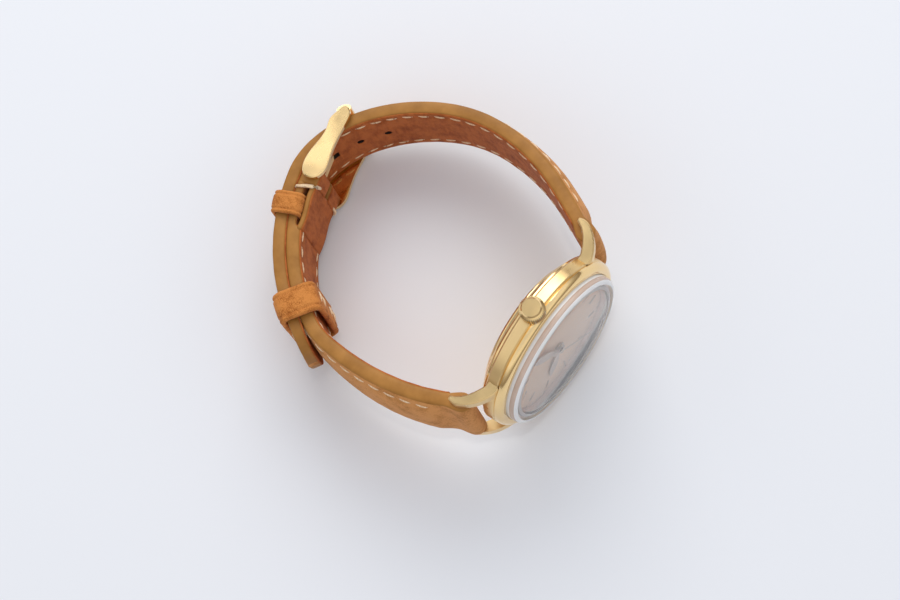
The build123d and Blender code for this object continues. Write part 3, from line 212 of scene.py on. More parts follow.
def bump(mat, height, depth, strength):
    """Bumps the surface by a height value; depth in millimetres."""
    made = node(mat, "ShaderNodeBump", Strength=strength, Distance=depth * MM)
    link(mat, height, made.inputs["Height"])
    link(mat, made.outputs["Normal"], mat.node_tree.nodes["Principled BSDF"].inputs["Normal"])


def into(mat, output, socket):
    """Feeds a socket of the material's shader."""
    link(mat, output, mat.node_tree.nodes["Principled BSDF"].inputs[socket])


GOLD_COLOUR = (0.94, 0.68, 0.33)


def gold(name, roughness, grain, shade=1.0, spread=0.03):
    """Gold plate with a fine grain along the watch's length; spread sets its two tones apart, and a shade below 1
    darkens the colour as painted shade.
    """
    mat = material(name, Metallic=1.0, Roughness=roughness)
    wear = mottle(mat, place(mat), 0.35, 4)
    into(mat, ramp(mat, wear, (0.3, roughness * 0.8), (0.7, roughness * 1.3)), "Roughness")
    tint = mottle(mat, place(mat), 0.12, 2)
    dark, light = (tuple(shade * part * tone for part in GOLD_COLOUR) for tone in (1 - spread, 1 + spread))
    into(mat, ramp(mat, tint, (0.35, dark), (0.65, light)), "Base Color")
    lines = mottle(mat, place(mat, (9, 0.35, 9)), 1.5, 4, 0.7)
    bump(mat, lines, 0.01, grain)
    return mat


def nubuck(name, dark, light):
    """Brushed leather with a short nap: soft blotches, fine specks and a little sheen."""
    mat = material(name, Roughness=0.85, Sheen_Weight=0.06, Sheen_Roughness=0.5, Specular_IOR_Level=0.08)
    where = place(mat)
    blotch = mottle(mat, where, 0.35, 6, 0.65)
    speck = mottle(mat, where, 5.0, 3, 0.7)
    both = sum_of(mat, blotch, speck, 0.9)
    into(mat, ramp(mat, both, (0.72, dark), (1.15, light)), "Base Color")
    bump(mat, sum_of(mat, speck, mottle(mat, where, 1.6, 4), 0.8), 0.10, 0.7)
    return mat


def grained(name, dark, light, roughness):
    """Smooth lining leather: pores, shallow creases across the strap and darker rubbed patches."""
    mat = material(name, Roughness=roughness, Specular_IOR_Level=0.12)
    where = place(mat)
    pores = node(mat, "ShaderNodeTexVoronoi", Scale=2.6, feature="DISTANCE_TO_EDGE")
    link(mat, where, pores.inputs["Vector"])
    cells = ramp(mat, pores.outputs["Distance"], (0.0, 0.0), (0.12, 1.0))
    creases = mottle(mat, place(mat, (0.35, 1, 1)), 0.9, 5, 0.7)
    patches = sum_of(mat, creases, mottle(mat, where, 0.3, 3), 0.8)
    into(mat, ramp(mat, patches, (0.6, dark), (1.1, light)), "Base Color")
    bump(mat, sum_of(mat, creases, cells, 0.25), 0.09, 0.6)
    return mat


def painted_edge():
    """Edge paint: smooth and slightly glossy, with faint lines along the strap."""
    mat = material("edge_paint", Roughness=0.45, Specular_IOR_Level=0.25)
    where = place(mat)
    tone = mottle(mat, where, 0.22, 3)
    into(mat, ramp(mat, tone, (0.3, (0.29, 0.122, 0.020)), (0.7, (0.42, 0.190, 0.040))), "Base Color")
    bump(mat, mottle(mat, where, 1.2, 3), 0.03, 0.4)
    return mat


def thread():
    """Waxed linen thread with its twist."""
    mat = material("thread", Roughness=0.6, Sheen_Weight=0.3)
    where = place(mat)
    fibres = mottle(mat, where, 3, 2)
    into(mat, ramp(mat, fibres, (0.35, (0.70, 0.48, 0.27)), (0.65, (0.90, 0.72, 0.48))), "Base Color")
    twist = node(mat, "ShaderNodeTexWave", Scale=1.6, bands_direction="DIAGONAL")
    link(mat, where, twist.inputs["Vector"])
    bump(mat, twist.outputs["Fac"], 0.04, 0.7)
    return mat


def acrylic(name, colour, roughness, ior, transmission, scale):
    """Acrylic with faint waves at so many cells per millimetre; a lower transmission makes it milky."""
    mat = material(
        name, Base_Color=(*colour, 1), Roughness=roughness, IOR=ior, Transmission_Weight=transmission
    )
    bump(mat, mottle(mat, place(mat), scale, 2), 0.004, 0.3)
    return mat


def plain(name, dark, light, roughness, metallic=0.0, scale=1.5, depth=0.01):
    """Two close tones and a fine surface, for small metal, plastic and rubber pieces."""
    mat = material(name, Metallic=metallic, Roughness=roughness)
    value = mottle(mat, place(mat), scale, 4)
    into(mat, ramp(mat, value, (0.3, dark), (0.7, light)), "Base Color")
    bump(mat, value, depth, 0.5)
    return mat


GOLD = gold("gold_polished", 0.12, 0.12)
# the copies with a shade below 1 are painted shade: the same gold made darker for faces that should reflect less
# light
GOLD_SOFT_SHADED = gold("gold_soft_shaded", 0.3, 0.12, 0.9)
GOLD_BRUSHED_SHADED = gold("gold_brushed_shaded", 0.34, 0.9, 0.46, 0.2)
GOLD_SATIN_SHADED = gold("gold_satin_shaded", 0.26, 0.2, 0.64, 0.3)
# painted shade for the flanks of the crown's grooves
GOLD_GROOVE_SHADE = gold("gold_groove_painted_shade", 0.4, 0.1, 0.3)
TAN = nubuck("nubuck_tan", (0.39, 0.155, 0.036), (0.64, 0.29, 0.095))
SUEDE = nubuck("suede_keeper", (0.28, 0.078, 0.012), (0.62, 0.24, 0.06))
LINING = grained("lining", (0.25, 0.058, 0.012), (0.48, 0.140, 0.036), 0.6)
EDGE = painted_edge()
THREAD = thread()
ACRYLIC = acrylic("acrylic", (0.99, 0.99, 0.99), 0.015, 1.49, 1.0, 0.15)
# milky white: painted highlights for the white lines on the crystal's rim, foot and inner wall
ACRYLIC_PAINTED_HIGHLIGHT = acrylic("acrylic_painted_highlight", (0.98, 0.99, 1.0), 0.25, 1.35, 0.25, 0.4)  # the white lines
# rose: a painted refraction of the dial in the crystal's outer wall
ACRYLIC_PAINTED_REFRACTION = acrylic("acrylic_painted_refraction", (0.74, 0.55, 0.44), 0.2, 1.35, 0.4, 0.4)  # the rose band
DIAL = plain("dial_salmon", (0.97, 0.66, 0.44), (0.99, 0.71, 0.49), 0.42, 0.0, 6, 0.01)
ROSE = plain("ring_rose", (0.74, 0.46, 0.32), (0.80, 0.52, 0.38), 0.4, 0.3, 4, 0.006)
HANDS = plain("hands_grey", (0.58, 0.46, 0.38), (0.70, 0.57, 0.48), 0.3, 0.7, 3, 0.004)
PRINT = plain("dial_print", (0.10, 0.07, 0.05), (0.14, 0.10, 0.08), 0.5, 0.0, 8, 0.004)
GILT = plain("movement_gilt", (0.62, 0.50, 0.28), (0.74, 0.62, 0.38), 0.32, 1.0, 3, 0.008)
STEEL = plain("steel", (0.50, 0.50, 0.52), (0.62, 0.62, 0.64), 0.25, 1.0, 4, 0.006)
RUBY = plain("ruby", (0.45, 0.02, 0.06), (0.55, 0.04, 0.10), 0.08)
RUBBER = plain("rubber", (0.02, 0.02, 0.02), (0.03, 0.03, 0.03), 0.6)
NYLON = plain("nylon", (0.70, 0.67, 0.60), (0.76, 0.74, 0.68), 0.5)
# near-black painted shade for the walls of the holes cut through the strap
HOLE_SHADE = plain("hole_painted_shade", (0.012, 0.006, 0.003), (0.03, 0.014, 0.007), 0.8)

FINISHES = {
    "gold_case": GOLD,
    "crystal_acrylic": ACRYLIC,
    "dial_salmon": DIAL,
    "hands_grey": HANDS,
    "movement_brass": GILT,
    "steel": STEEL,
    "ruby": RUBY,
    "gasket_rubber": RUBBER,
    "holder_plastic": NYLON,
    "strap_tan": TAN,
    "strap_lining": LINING,
}
for subpart in frame["record"]["subparts"]:
    NODES[subpart["node"]].material_slots[0].material = FINISHES[subpart["material_slot"]]


def finish_flat_faces(name, beyond, finish):
    """Gives the faces square to the crown's axis, further out than beyond, their own finish; here a brushed or
    satin gold darkened as painted shade.
    """
    mesh = NODES[name].data
    mesh.materials.append(finish)
    for face in mesh.polygons:
        if abs(face.normal.dot(THREE)) > 0.995 and abs(watch_place(face.center).x) > beyond:
            face.material_index = 1


def paint_groove_shade():
    """Gives the flanks of the crown's grooves a darker gold: painted shade in the grooves."""
    mesh = NODES["crown"].data
    mesh.materials.append(GOLD_GROOVE_SHADE)
    for face in mesh.polygons:
        middle = watch_place(face.center)
        radial = AXES @ Vector((0, middle.y, middle.z - STEM.z)).normalized()
        if abs(face.normal.dot(THREE)) < 0.3 and abs(face.normal.dot(radial)) < 0.85:
            face.material_index = len(mesh.materials) - 1


# painted shade: the mid-case, the flat flanks of lugs and crown and the buckle's arms take darker copies of the
# gold
NODES["mid_case"].material_slots[0].material = GOLD_SOFT_SHADED
finish_flat_faces("mid_case", 11.1, GOLD_BRUSHED_SHADED)
finish_flat_faces("crown", 21.5, GOLD_BRUSHED_SHADED)
finish_flat_faces("buckle_frame", 9.7, GOLD_SATIN_SHADED)
paint_groove_shade()


# ---------------------------------------------------------------- mesh making
def piece(name, points, faces, finish, body="case", stands_for=(), slot=None, second=None, seconds=()):
    """A smooth mesh piece from points in the watch's axes, riding on a body.

    Faces numbered in seconds take the second finish.
    """
    mesh = bpy.data.meshes.new(name)
    mesh.from_pydata([WATCH @ Vector(each) for each in points], [], faces)
    mesh.materials.append(finish)
    if second:
        mesh.materials.append(second)
        for number in seconds:
            mesh.polygons[number].material_index = 1
    mesh.validate()
    mesh.shade_smooth()
    made = bpy.data.objects.new(name, mesh)
    bpy.context.scene.collection.objects.link(made)
    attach(made, body)
    if stands_for:
        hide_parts(*stands_for)
    return made


def loft(rings, capped=True, closed=False):
    """Points and faces through equal rings of points; the ends are capped or the last meets the first."""
    count = len(rings[0])
    points = [point for ring in rings for point in ring]
    faces = []
    turns = len(rings) if closed else len(rings) - 1
    for row in range(turns):
        for column in range(count):
            here = row * count
            there = (row + 1) % len(rings) * count
            after = (column + 1) % count
            faces.append((here + column, here + after, there + after, there + column))
    if capped and not closed:
        faces.append(tuple(range(count))[::-1])
        faces.append(tuple(range(len(points) - count, len(points))))
    return points, faces


def smooth(value):
    """0 below 0, 1 above 1, and a soft step between."""
    value = min(max(value, 0.0), 1.0)
    return value * value * (3 - 2 * value)


def on_clasp(radius, direction):
    """A place on the clasp's arc, (y, z)."""
    angle = math.radians(direction)
    return (CLASP.y + radius * math.cos(angle), CLASP.z + radius * math.sin(angle))


class Route:
    """A strap's middle line in the y, z plane, even in length, with its outward side."""

    def __init__(self, shape, arc, radius, outward, straight=0.0):
        turns = np.linspace(arc[0], arc[1], 16)
        knots = np.array([*shape, *(on_clasp(radius, turn) for turn in turns)])
        steps = np.hypot(*np.diff(knots, axis=0).T)
        marks = np.concatenate(([0], np.cumsum(steps)))
        fine = np.linspace(0, marks[-1], 4000)
        line = np.stack([self.cubic(marks, knots[:, side], fine) for side in (0, 1)], axis=1)
        run = np.concatenate(([0], np.cumsum(np.hypot(*np.diff(line, axis=0).T))))
        self.curved = run[-1]
        self.length = run[-1] + straight
        self.run, self.line = run, line
        self.outward = outward

    @staticmethod
    def cubic(marks, values, wanted):
        """A natural cubic spline."""
        count = len(marks)
        gaps = np.diff(marks)
        slopes = np.diff(values) / gaps
        system = np.eye(count)
        right = np.zeros(count)
        for row in range(1, count - 1):
            system[row, row - 1 : row + 2] = gaps[row - 1], 2 * (gaps[row - 1] + gaps[row]), gaps[row]
            right[row] = 6 * (slopes[row] - slopes[row - 1])
        bends = np.linalg.solve(system, right)
        span = np.clip(np.searchsorted(marks, wanted) - 1, 0, count - 2)
        gap, near, far = gaps[span], wanted - marks[span], marks[span + 1] - wanted
        ends = [values[each] / gap - bends[each] * gap / 6 for each in (span, span + 1)]
        bent = (bends[span] * far**3 + bends[span + 1] * near**3) / (6 * gap)
        return bent + ends[0] * far + ends[1] * near

    def at(self, along):
        """(place, outward side) at a length along the route; beyond its ends it runs on straight."""
        nudge = 0.02
        inside = min(max(along, nudge), self.curved - nudge)
        low, high = (
            np.array([np.interp(inside + shift, self.run, self.line[:, side]) for side in (0, 1)])
            for shift in (-nudge, nudge)
        )
        way = (high - low) / np.hypot(*(high - low))
        place_here = (low + high) / 2 + way * (along - inside)
        return place_here, np.array((way[1], -way[0])) * self.outward

    def point(self, along, across, height):
        """A point at that length along, across the strap (x) and outside the middle line."""
        middle, side = self.at(along)
        return (across, *(middle + side * height))


LONG = Route(LONG_SHAPE, LONG_ARC, TAIL_R, 1, TAIL_STRAIGHT)
SHORT = Route(SHORT_SHAPE, SHORT_ARC, SHORT_R, -1)
ROLL = Route(SHORT_SHAPE, SHORT_ARC, SHORT_R, -1)  # its end, rolled round the buckle's bar
FLAP = Route([on_clasp(*bend) for bend in FLAP_BENDS], (-74, SHORT_ARC[1]), FLAP_R, -1)
FLAP_LEFT = SHORT_R * math.radians(FLAP_START - SHORT_ARC[1])  # from the flap's start to the bar


# ---------------------------------------------------------------- strap profile
def half_width(route, along):
    """Half of the strap's width: tapered, with a rounded tip on the long strap."""
    depth = route.at(along)[0][1]
    half = LUG_HALF + (END_HALF - LUG_HALF) * min(max((TAPER_FROM - depth) / TAPER_RUN, 0), 1)
    if route is LONG:
        tip = (along - (route.length - TIP)) / TIP
        fullness = 2.2
        if tip > 0:
            half *= max(1 - tip**fullness, 0.0) ** (1 / fullness)
    return max(half, 0.3)


def edge_height(route, along):
    """Height of the outer face at the edge, and depth of the inner face, from the middle line."""
    left = route.length - along
    if route is FLAP:
        return FLAP_T / 2, FLAP_T / 2
    if route is ROLL:
        if left > 0:
            return EYE_R - ROLL_DROP, EYE_R + ROLL_DROP
        cap = math.sqrt(max(EYE_R**2 - left**2, TINY))
        return cap - ROLL_DROP, cap + ROLL_DROP
    thick = LONG_T if route is LONG else SHORT_T
    outer = inner = thick / 2
    if along < 0:
        outer = inner = math.sqrt(max(EYE_R**2 - along**2, TINY))
    else:
        swell = (EYE_R - thick / 2) * (1 - smooth(along / 3.4))
        outer += swell
        inner += swell
    if route is SHORT:
        inner -= 1.05 * (1 - smooth((left - FLAP_LEFT + 1.5) / 1.5))
    if route is LONG:
        thin = 1 - 0.2 * (1 - smooth(left / 12))
        outer, inner = outer * thin, inner * thin
    return outer, inner


def crown_height(route, along, share):
    """How far the padding lifts the outer face; share is -1 to 1 across the strap."""
    lift = 0.06
    if route not in (ROLL, FLAP):
        lift = PAD_LIFT * smooth((along - 2.2) / 4.0) * (1 - smooth((along - 10) / 34)) + 0.25
        lift += 0.35 * (1 - smooth((along + EYE_R) / 4))
    return lift * (1 - abs(share) ** 2.4)


def stitched(route, along):
    """Whether the stitching line runs here."""
    end = {LONG: route.length - 1.2, SHORT: route.length - FLAP_LEFT - 0.5}.get(route, 0)
    return 6.0 < along < end


def seam_dip(across, half, depth):
    """How far the stitching line pulls a face in."""
    return depth * math.exp(-(((abs(across) - (half - STITCH_IN)) / SEAM_HALF) ** 2))


def outer_height(route, along, across):
    """Height of the outer face at a place across the strap, with the seam's dip."""
    half = half_width(route, along)
    share = across / half
    height = edge_height(route, along)[0] + crown_height(route, along, share)
    if stitched(route, along):
        height -= seam_dip(across, half, SEAM_DIP)
    return height


def inner_height(route, along, across):
    """Depth of the lining's face at a place across the strap, with the seam's dip and soft waves."""
    half = half_width(route, along)
    depth = edge_height(route, along)[1] + LINING_T
    depth -= 0.25 * max(abs(across) / half - 0.9, 0) * 10 * LINING_T
    if stitched(route, along):
        depth -= seam_dip(across, half, LINING_DIP)
    wave = noise.noise(Vector((across * 0.12, along * 0.45, 3.0)))
    return -(depth + 0.05 * wave)


def outer_ring(route, along, low=-1.0, high=1.0):
    """A closed ring round the leather: outer face, painted edge, underside, painted edge."""
    half = half_width(route, along)
    right, left = high * half, low * half
    outer, inner = edge_height(route, along)
    round_r = min(EDGE_ROUND, half * 0.4)
    ring = []
    for step in range(25):
        across = left + round_r + (right - left - 2 * round_r) * step / 24
        nap = 0.035 * noise.noise(Vector((across * 0.5, along * 0.5, 7.0)))
        ring.append(route.point(along, across, outer_height(route, along, across) + nap))
    for side, start in ((1, right), (-1, left)):
        for step in range(1, 8):
            angle = math.pi * step / 8 - math.pi / 2
            bulge = round_r * math.cos(angle) ** 0.6
            height = -math.sin(angle) if side > 0 else math.sin(angle)
            height = math.copysign(abs(height) ** 0.75, height)
            level = (outer - inner) / 2 + (outer + inner) / 2 * height
            ring.append(route.point(along, start + side * (bulge - round_r), level))
        if side > 0:
            for step in range(7):
                across = right - round_r + (left - right + 2 * round_r) * step / 6
                ring.append(route.point(along, across, -inner + 0.04))
    return ring


EDGE_COLUMNS = {*range(24, 32), *range(38, 46)}  # the ring's faces that carry edge paint


def stations(start, end, step=0.55):
    """Even places from start to end, about a step apart."""
    count = max(2, round((end - start) / step))
    return [start + (end - start) * number / count for number in range(count + 1)]


def end_stations(middle, radius, outwards):
    """Places along a rolled end, close together where the roll turns fastest."""
    places = [middle + outwards * radius * math.sin(math.pi / 2 * step / 9) for step in range(10)]
    return places if outwards > 0 else places[::-1]


def leather(name, route, places, stands_for=(), low=-1.0, high=1.0):
    """The outer leather with its painted edges, along those places."""
    rings = [outer_ring(route, along, low, high) for along in places]
    points, faces = loft(rings)
    edges = [number for number in range(len(faces) - 2) if number % len(rings[0]) in EDGE_COLUMNS]
    return piece(name, points, faces, TAN, "case", stands_for, "strap_tan", EDGE, edges)


def lining_ring(route, along, low=-1.0, high=1.0):
    """A closed ring round the lining's sheet, which stops short of the painted edges."""
    half = half_width(route, along)
    inset = 0.24
    left, right = low * half + inset, high * half - inset
    top, ring = [], []
    for step in range(25):
        across = left + (right - left) * step / 24
        ring.append(route.point(along, across, inner_height(route, along, across)))
        top.append(route.point(along, across, -edge_height(route, along)[1] + 0.25))
    return ring + top[::-1]


def lining(name, route, places, stands_for=(), low=-1.0, high=1.0):
    """The lining's sheet along those places."""
    points, faces = loft([lining_ring(route, along, low, high) for along in places])
    return piece(name, points, faces, LINING, "case", stands_for, "strap_lining")


# ---------------------------------------------------------------- thread
def tube(spine, radius, sides=8):
    """Rings round a line of points, thinner at its two ends."""
    rings = []
    for number, point in enumerate(spine):
        before = Vector(spine[max(number - 1, 0)])
        after = Vector(spine[min(number + 1, len(spine) - 1)])
        way = (after - before).normalized()
        first = way.orthogonal().normalized()
        second = way.cross(first)
        reach = radius * (0.55 + 0.45 * math.sin(math.pi * (number + 0.5) / len(spine)))
        ring = []
        for side in range(sides):
            angle = 2 * math.pi * side / sides
            ring.append(Vector(point) + (first * math.cos(angle) + second * math.sin(angle)) * reach)
        rings.append(ring)
    return loft(rings)


def merged(shapes):
    """Several (points, faces) as one."""
    points, faces = [], []
    for some_points, some_faces in shapes:
        first = len(points)
        points.extend(some_points)
        faces.extend(tuple(first + corner for corner in face) for face in some_faces)
    return points, faces


def stitch(route, along, side, face):
    """One stitch lying in the seam; face is 1 on the outer leather, -1 on the lining."""
    spine = []
    for step in range(9):
        share = step / 8 - 0.5
        here = along + share * STITCH_LENGTH
        across = side * (half_width(route, here) - STITCH_IN) + 0.25 * share * side
        level = outer_height(route, here, across) if face > 0 else -inner_height(route, here, across)
        lift = 0.2 * math.cos(math.pi * share) ** 0.5 - 0.14
        spine.append(route.point(here, across, face * (level + lift)))
    return tube(spine, THREAD_R)


def seam(name, route, end):
    """The stitching along both edges of a strap half, on the leather and on the lining."""
    shapes = []
    for along in stations(STITCH_START, end, STITCH_PITCH):
        for side in (1, -1):
            shapes.extend(stitch(route, along, side, face) for face in (1, -1))
    piece(name, *merged(shapes), THREAD)


# ---------------------------------------------------------------- long strap
def cutter(shapes):
    """A mesh object for cutting, which carve() removes."""
    points, faces = merged(shapes)
    mesh = bpy.data.meshes.new("cutter")
    mesh.from_pydata([WATCH @ Vector(each) for each in points], [], faces)
    mesh.materials.append(HOLE_SHADE)
    made = bpy.data.objects.new("cutter", mesh)
    bpy.context.scene.collection.objects.link(made)
    return made


def carve(target, tool):
    """Cuts a tool out of a piece; the cut's walls take the tool's near-black finish, painted shade inside the
    holes.
    """
    target.data.materials.append(HOLE_SHADE)
    change = target.modifiers.new("cut", "BOOLEAN")
    change.operation = "DIFFERENCE"
    change.solver = "EXACT"
    change.object = tool
    change.material_mode = "TRANSFER"
    graph = bpy.context.evaluated_depsgraph_get()
    result = bpy.data.meshes.new_from_object(target.evaluated_get(graph))
    target.modifiers.clear()
    target.data = result


def hole_shape(middle, direction):
    """A round hole through the strap, as a straight tube's points and faces."""
    angle = math.radians(direction)
    way = Vector((0, math.cos(angle), math.sin(angle)))
    side = Vector((1, 0, 0))
    along = way.cross(side)
    rings = []
    sides = 20
    for depth in (-3.5, 3.5):
        ring = []
        for step in range(sides):
            turn = 2 * math.pi * step / sides
            reach = (side * math.cos(turn) + along * math.sin(turn)) * HOLE_R
            ring.append(Vector((0, *middle)) + way * depth + reach)
        rings.append(ring)
    return loft(rings)


def slot_shape():
    """The long hole that the tongue comes out through."""
    start, step, end, outside, half = PIN.y - 1.9, -8.2, -11.7, -62.5, 0.95
    side_view = ((start, -56.0), (step, -56.2), (step, -57.8), (end, -58.7), (end, outside), (start, -59.4))
    return loft([[(across, *corner) for corner in side_view] for across in (-half, half)])


TIP_START = LONG.length - TIP
tip_places = [TIP_START + (TIP - 0.02) * math.sin(math.pi / 2 * step / 16) for step in range(1, 17)]
long_places = end_stations(0, EYE_R, -1)[:-1] + stations(0, TIP_START) + tip_places
long_outer = leather("long_strap_leather", LONG, long_places, ("strap_long_outer",))
long_lined = [along for along in long_places if LINING_START < along < LONG.length - 0.12]
long_lining = lining("long_strap_lining", LONG, long_lined, ("strap_long_lining",))
holes = [hole_shape(on_clasp(TAIL_R, direction), direction) for direction in TAIL_HOLES]
holes += [hole_shape(middle, direction) for *middle, direction in FREE_HOLES]
holes.append(slot_shape())
hole_tool = cutter(holes)
carve(long_outer, hole_tool)
carve(long_lining, hole_tool)
bpy.data.objects.remove(hole_tool)
seam("long_strap_stitching", LONG, LONG.length - 4.6)

# ---------------------------------------------------------------- short strap
ROLL_START = SHORT.length - 2.4
short_places = end_stations(0, EYE_R, -1)[:-1] + stations(0, ROLL_START + 0.3)
roll_places = [*stations(ROLL_START, SHORT.length - 0.3), *end_stations(SHORT.length, EYE_R, 1)]
leather("short_strap_leather", SHORT, short_places, ("strap_short_outer",))
short_lined = [along for along in short_places if LINING_START < along < SHORT.length - FLAP_LEFT + 1.2]
lining("short_strap_lining", SHORT, short_lined, ("strap_short_lining",))
flap_places = stations(0.3, FLAP.length - 2.1)
leather("short_strap_flap", FLAP, flap_places)
lining("short_strap_flap_lining", FLAP, flap_places)
roll_lined = [along for along in roll_places if along < SHORT.length + 1.2]
for label, low, high in (("near", ROLL_GAP, 1.0), ("far", -1.0, -ROLL_GAP)):
    leather(f"short_strap_roll_{label}", ROLL, roll_places, (), low, high)
    lining(f"short_strap_roll_lining_{label}", ROLL, roll_lined, (), low, high)
seam("short_strap_stitching", SHORT, SHORT.length - FLAP_LEFT - 0.8)


def bar_tack(side):
    """The big stitch that holds the rolled end: from the outer side, over the edge, into the lining."""
    along = SHORT.length - 3.6
    half = half_width(SHORT, along)
    outer, inner = edge_height(ROLL, along)
    bends = (
        (half - 0.5, outer + 0.15),
        (half + 0.12, outer - 0.1),
        (half + 0.3, outer - 1.2),
        (half + 0.3, -0.6),
        (half + 0.25, 0.5 - inner),
        (half - 0.15, -inner - 0.15),
        (half - 1.0, -inner - 0.42),
        (half - 1.8, -inner - 0.3),
        (half - 2.4, -inner + 0.1),
    )
    spine = []
    for number, (across, level) in enumerate(bends):
        spine.append(SHORT.point(along + 0.2 * number, side * across, level))
    return tube(spine, TACK_R)


piece("bar_tacks", *merged([bar_tack(1), bar_tack(-1)]), THREAD)


# ---------------------------------------------------------------- keepers
def keeper(name, place_on_arc, inside, body, node_name):
    """A leather loop round both straps, with a creased line along each border and rounded corners.

    place_on_arc is its middle direction, width and slant, and how much closer its inner wall lies
    to the strap on the far side; inside is the opening's inner radius and half width, the wall's
    thickness and the corners' radius.
    """
    direction, width, slant, snug = place_on_arc
    low, in_half, thick, corner = inside
    high = KEEPER_OUT_R
    corners = ((in_half, high, 0), (-in_half, high, 90), (-in_half, low, 180), (in_half, low, 270))
    loop = []
    for across, radius, start in corners:
        centre = (across - math.copysign(corner, across), radius + (corner if radius == low else -corner))
        for step in range(9):
            turn = math.radians(start + 90 * step / 8)
            loop.append((centre, (math.cos(turn), math.sin(turn))))
    path = []
    for number, (centre, side) in enumerate(loop):
        here = (centre[0] + side[0] * corner, centre[1] + side[1] * corner)
        path.append((here, side))
        following = loop[(number + 1) % len(loop)]
        there = (following[0][0] + following[1][0] * corner, following[0][1] + following[1][1] * corner)
        gap = math.dist(here, there)
        if gap > 1.5:
            for step in range(1, int(gap)):
                share = step / int(gap)
                spot = (here[0] + (there[0] - here[0]) * share, here[1] + (there[1] - here[1]) * share)
                path.append((spot, side))
    rings = []
    for number, ((across, radius), (out_x, out_r)) in enumerate(path):
        ring = []
        for step in range(29):
            share = -1 + 2 * step / 28
            wall = thick * (0.45 + 0.55 * (1 - abs(share) ** 7) ** 0.5)
            wall -= 0.26 * math.exp(-(((abs(share) - 0.66) / 0.08) ** 2))
            wall += 0.05 * noise.noise(Vector((number * 0.21, share * 1.5, width)))
            ring.append((across + out_x * wall, radius + out_r * wall, share))
        for step in range(9):
            share = 0.985 - 1.97 * step / 8
            ring.append((across + out_x * 0.02, radius + out_r * 0.02, share))
        points = []
        for spot_x, spot_r, share in ring:
            if spot_r < SHORT_R:
                spot_r += snug * (1 - spot_x / in_half) / 2
            turn = direction + slant * spot_x / in_half + math.degrees(share * width / 2 / spot_r)
            points.append((spot_x, *on_clasp(spot_r, turn)))
        rings.append(points)
    points, faces = loft(rings, closed=True)
    return piece(name, points, faces, SUEDE, body, (node_name,), "strap_tan")


FIXED_PLACE = (-65.95, 4.5, 0.0, 0.0)  # direction, width, slant, snug
FIXED_INSIDE = (36.08, 8.5, 0.9, 0.9)  # inner radius, half width, wall, corners' radius
FLOATING_PLACE = (-35.3, 6.0, 0.3, 0.3)
FLOATING_INSIDE = (33.9, 8.75, 1.12, 1.1)
KEEPER_STITCH = 2.2
keeper("fixed_keeper", FIXED_PLACE, FIXED_INSIDE, "case", "keeper_fixed")
keeper("floating_keeper", FLOATING_PLACE, FLOATING_INSIDE, "keeper", "keeper_floating")


def keeper_stitch(across):
    """A short stitch on the inner side of the floating keeper, along the strap."""
    direction, _, slant, snug = FLOATING_PLACE
    inner_r, half, wall, _ = FLOATING_INSIDE
    radius = inner_r - wall + snug * (1 - across / half) / 2
    turn = direction + slant * across / half
    spine = []
    for step in range(9):
        share = step / 8 - 0.5
        lift = 0.24 * math.cos(math.pi * share) ** 0.5 - 0.12
        here = turn + math.degrees(share * KEEPER_STITCH / radius)
        spine.append((across, *on_clasp(radius - lift, here)))
    return tube(spine, THREAD_R)


keeper_stitches = [keeper_stitch(across) for across in (6.8, 3.4, -3.4, -6.8)]
piece("keeper_stitching", *merged(keeper_stitches), THREAD, "keeper")


# ---------------------------------------------------------------- dial print and serrated tension ring
def flat_bar(radius_in, radius_out, half, turn, level):
    """A thin printed bar pointing at the dial's centre."""
    angle = math.radians(turn)
    way = Vector((math.cos(angle), math.sin(angle), 0))
    side = Vector((-way.y, way.x, 0))
    corners = [way * radius_in - side * half, way * radius_out - side * half]
    corners += [way * radius_out + side * half, way * radius_in + side * half]
    return loft([[corner + Vector((0, 0, height)) for corner in corners] for height in (level, level + 0.02)])


DIAL_FACE = 0.8
marks = [flat_bar(13.5, 14.1, 0.045, minute * 6, DIAL_FACE) for minute in range(60) if minute % 5]
marks += [flat_bar(13.3, 14.3, 0.09, hour * 30, DIAL_FACE) for hour in range(12)]
piece("minute_track", *merged(marks), PRINT).data.shade_flat()


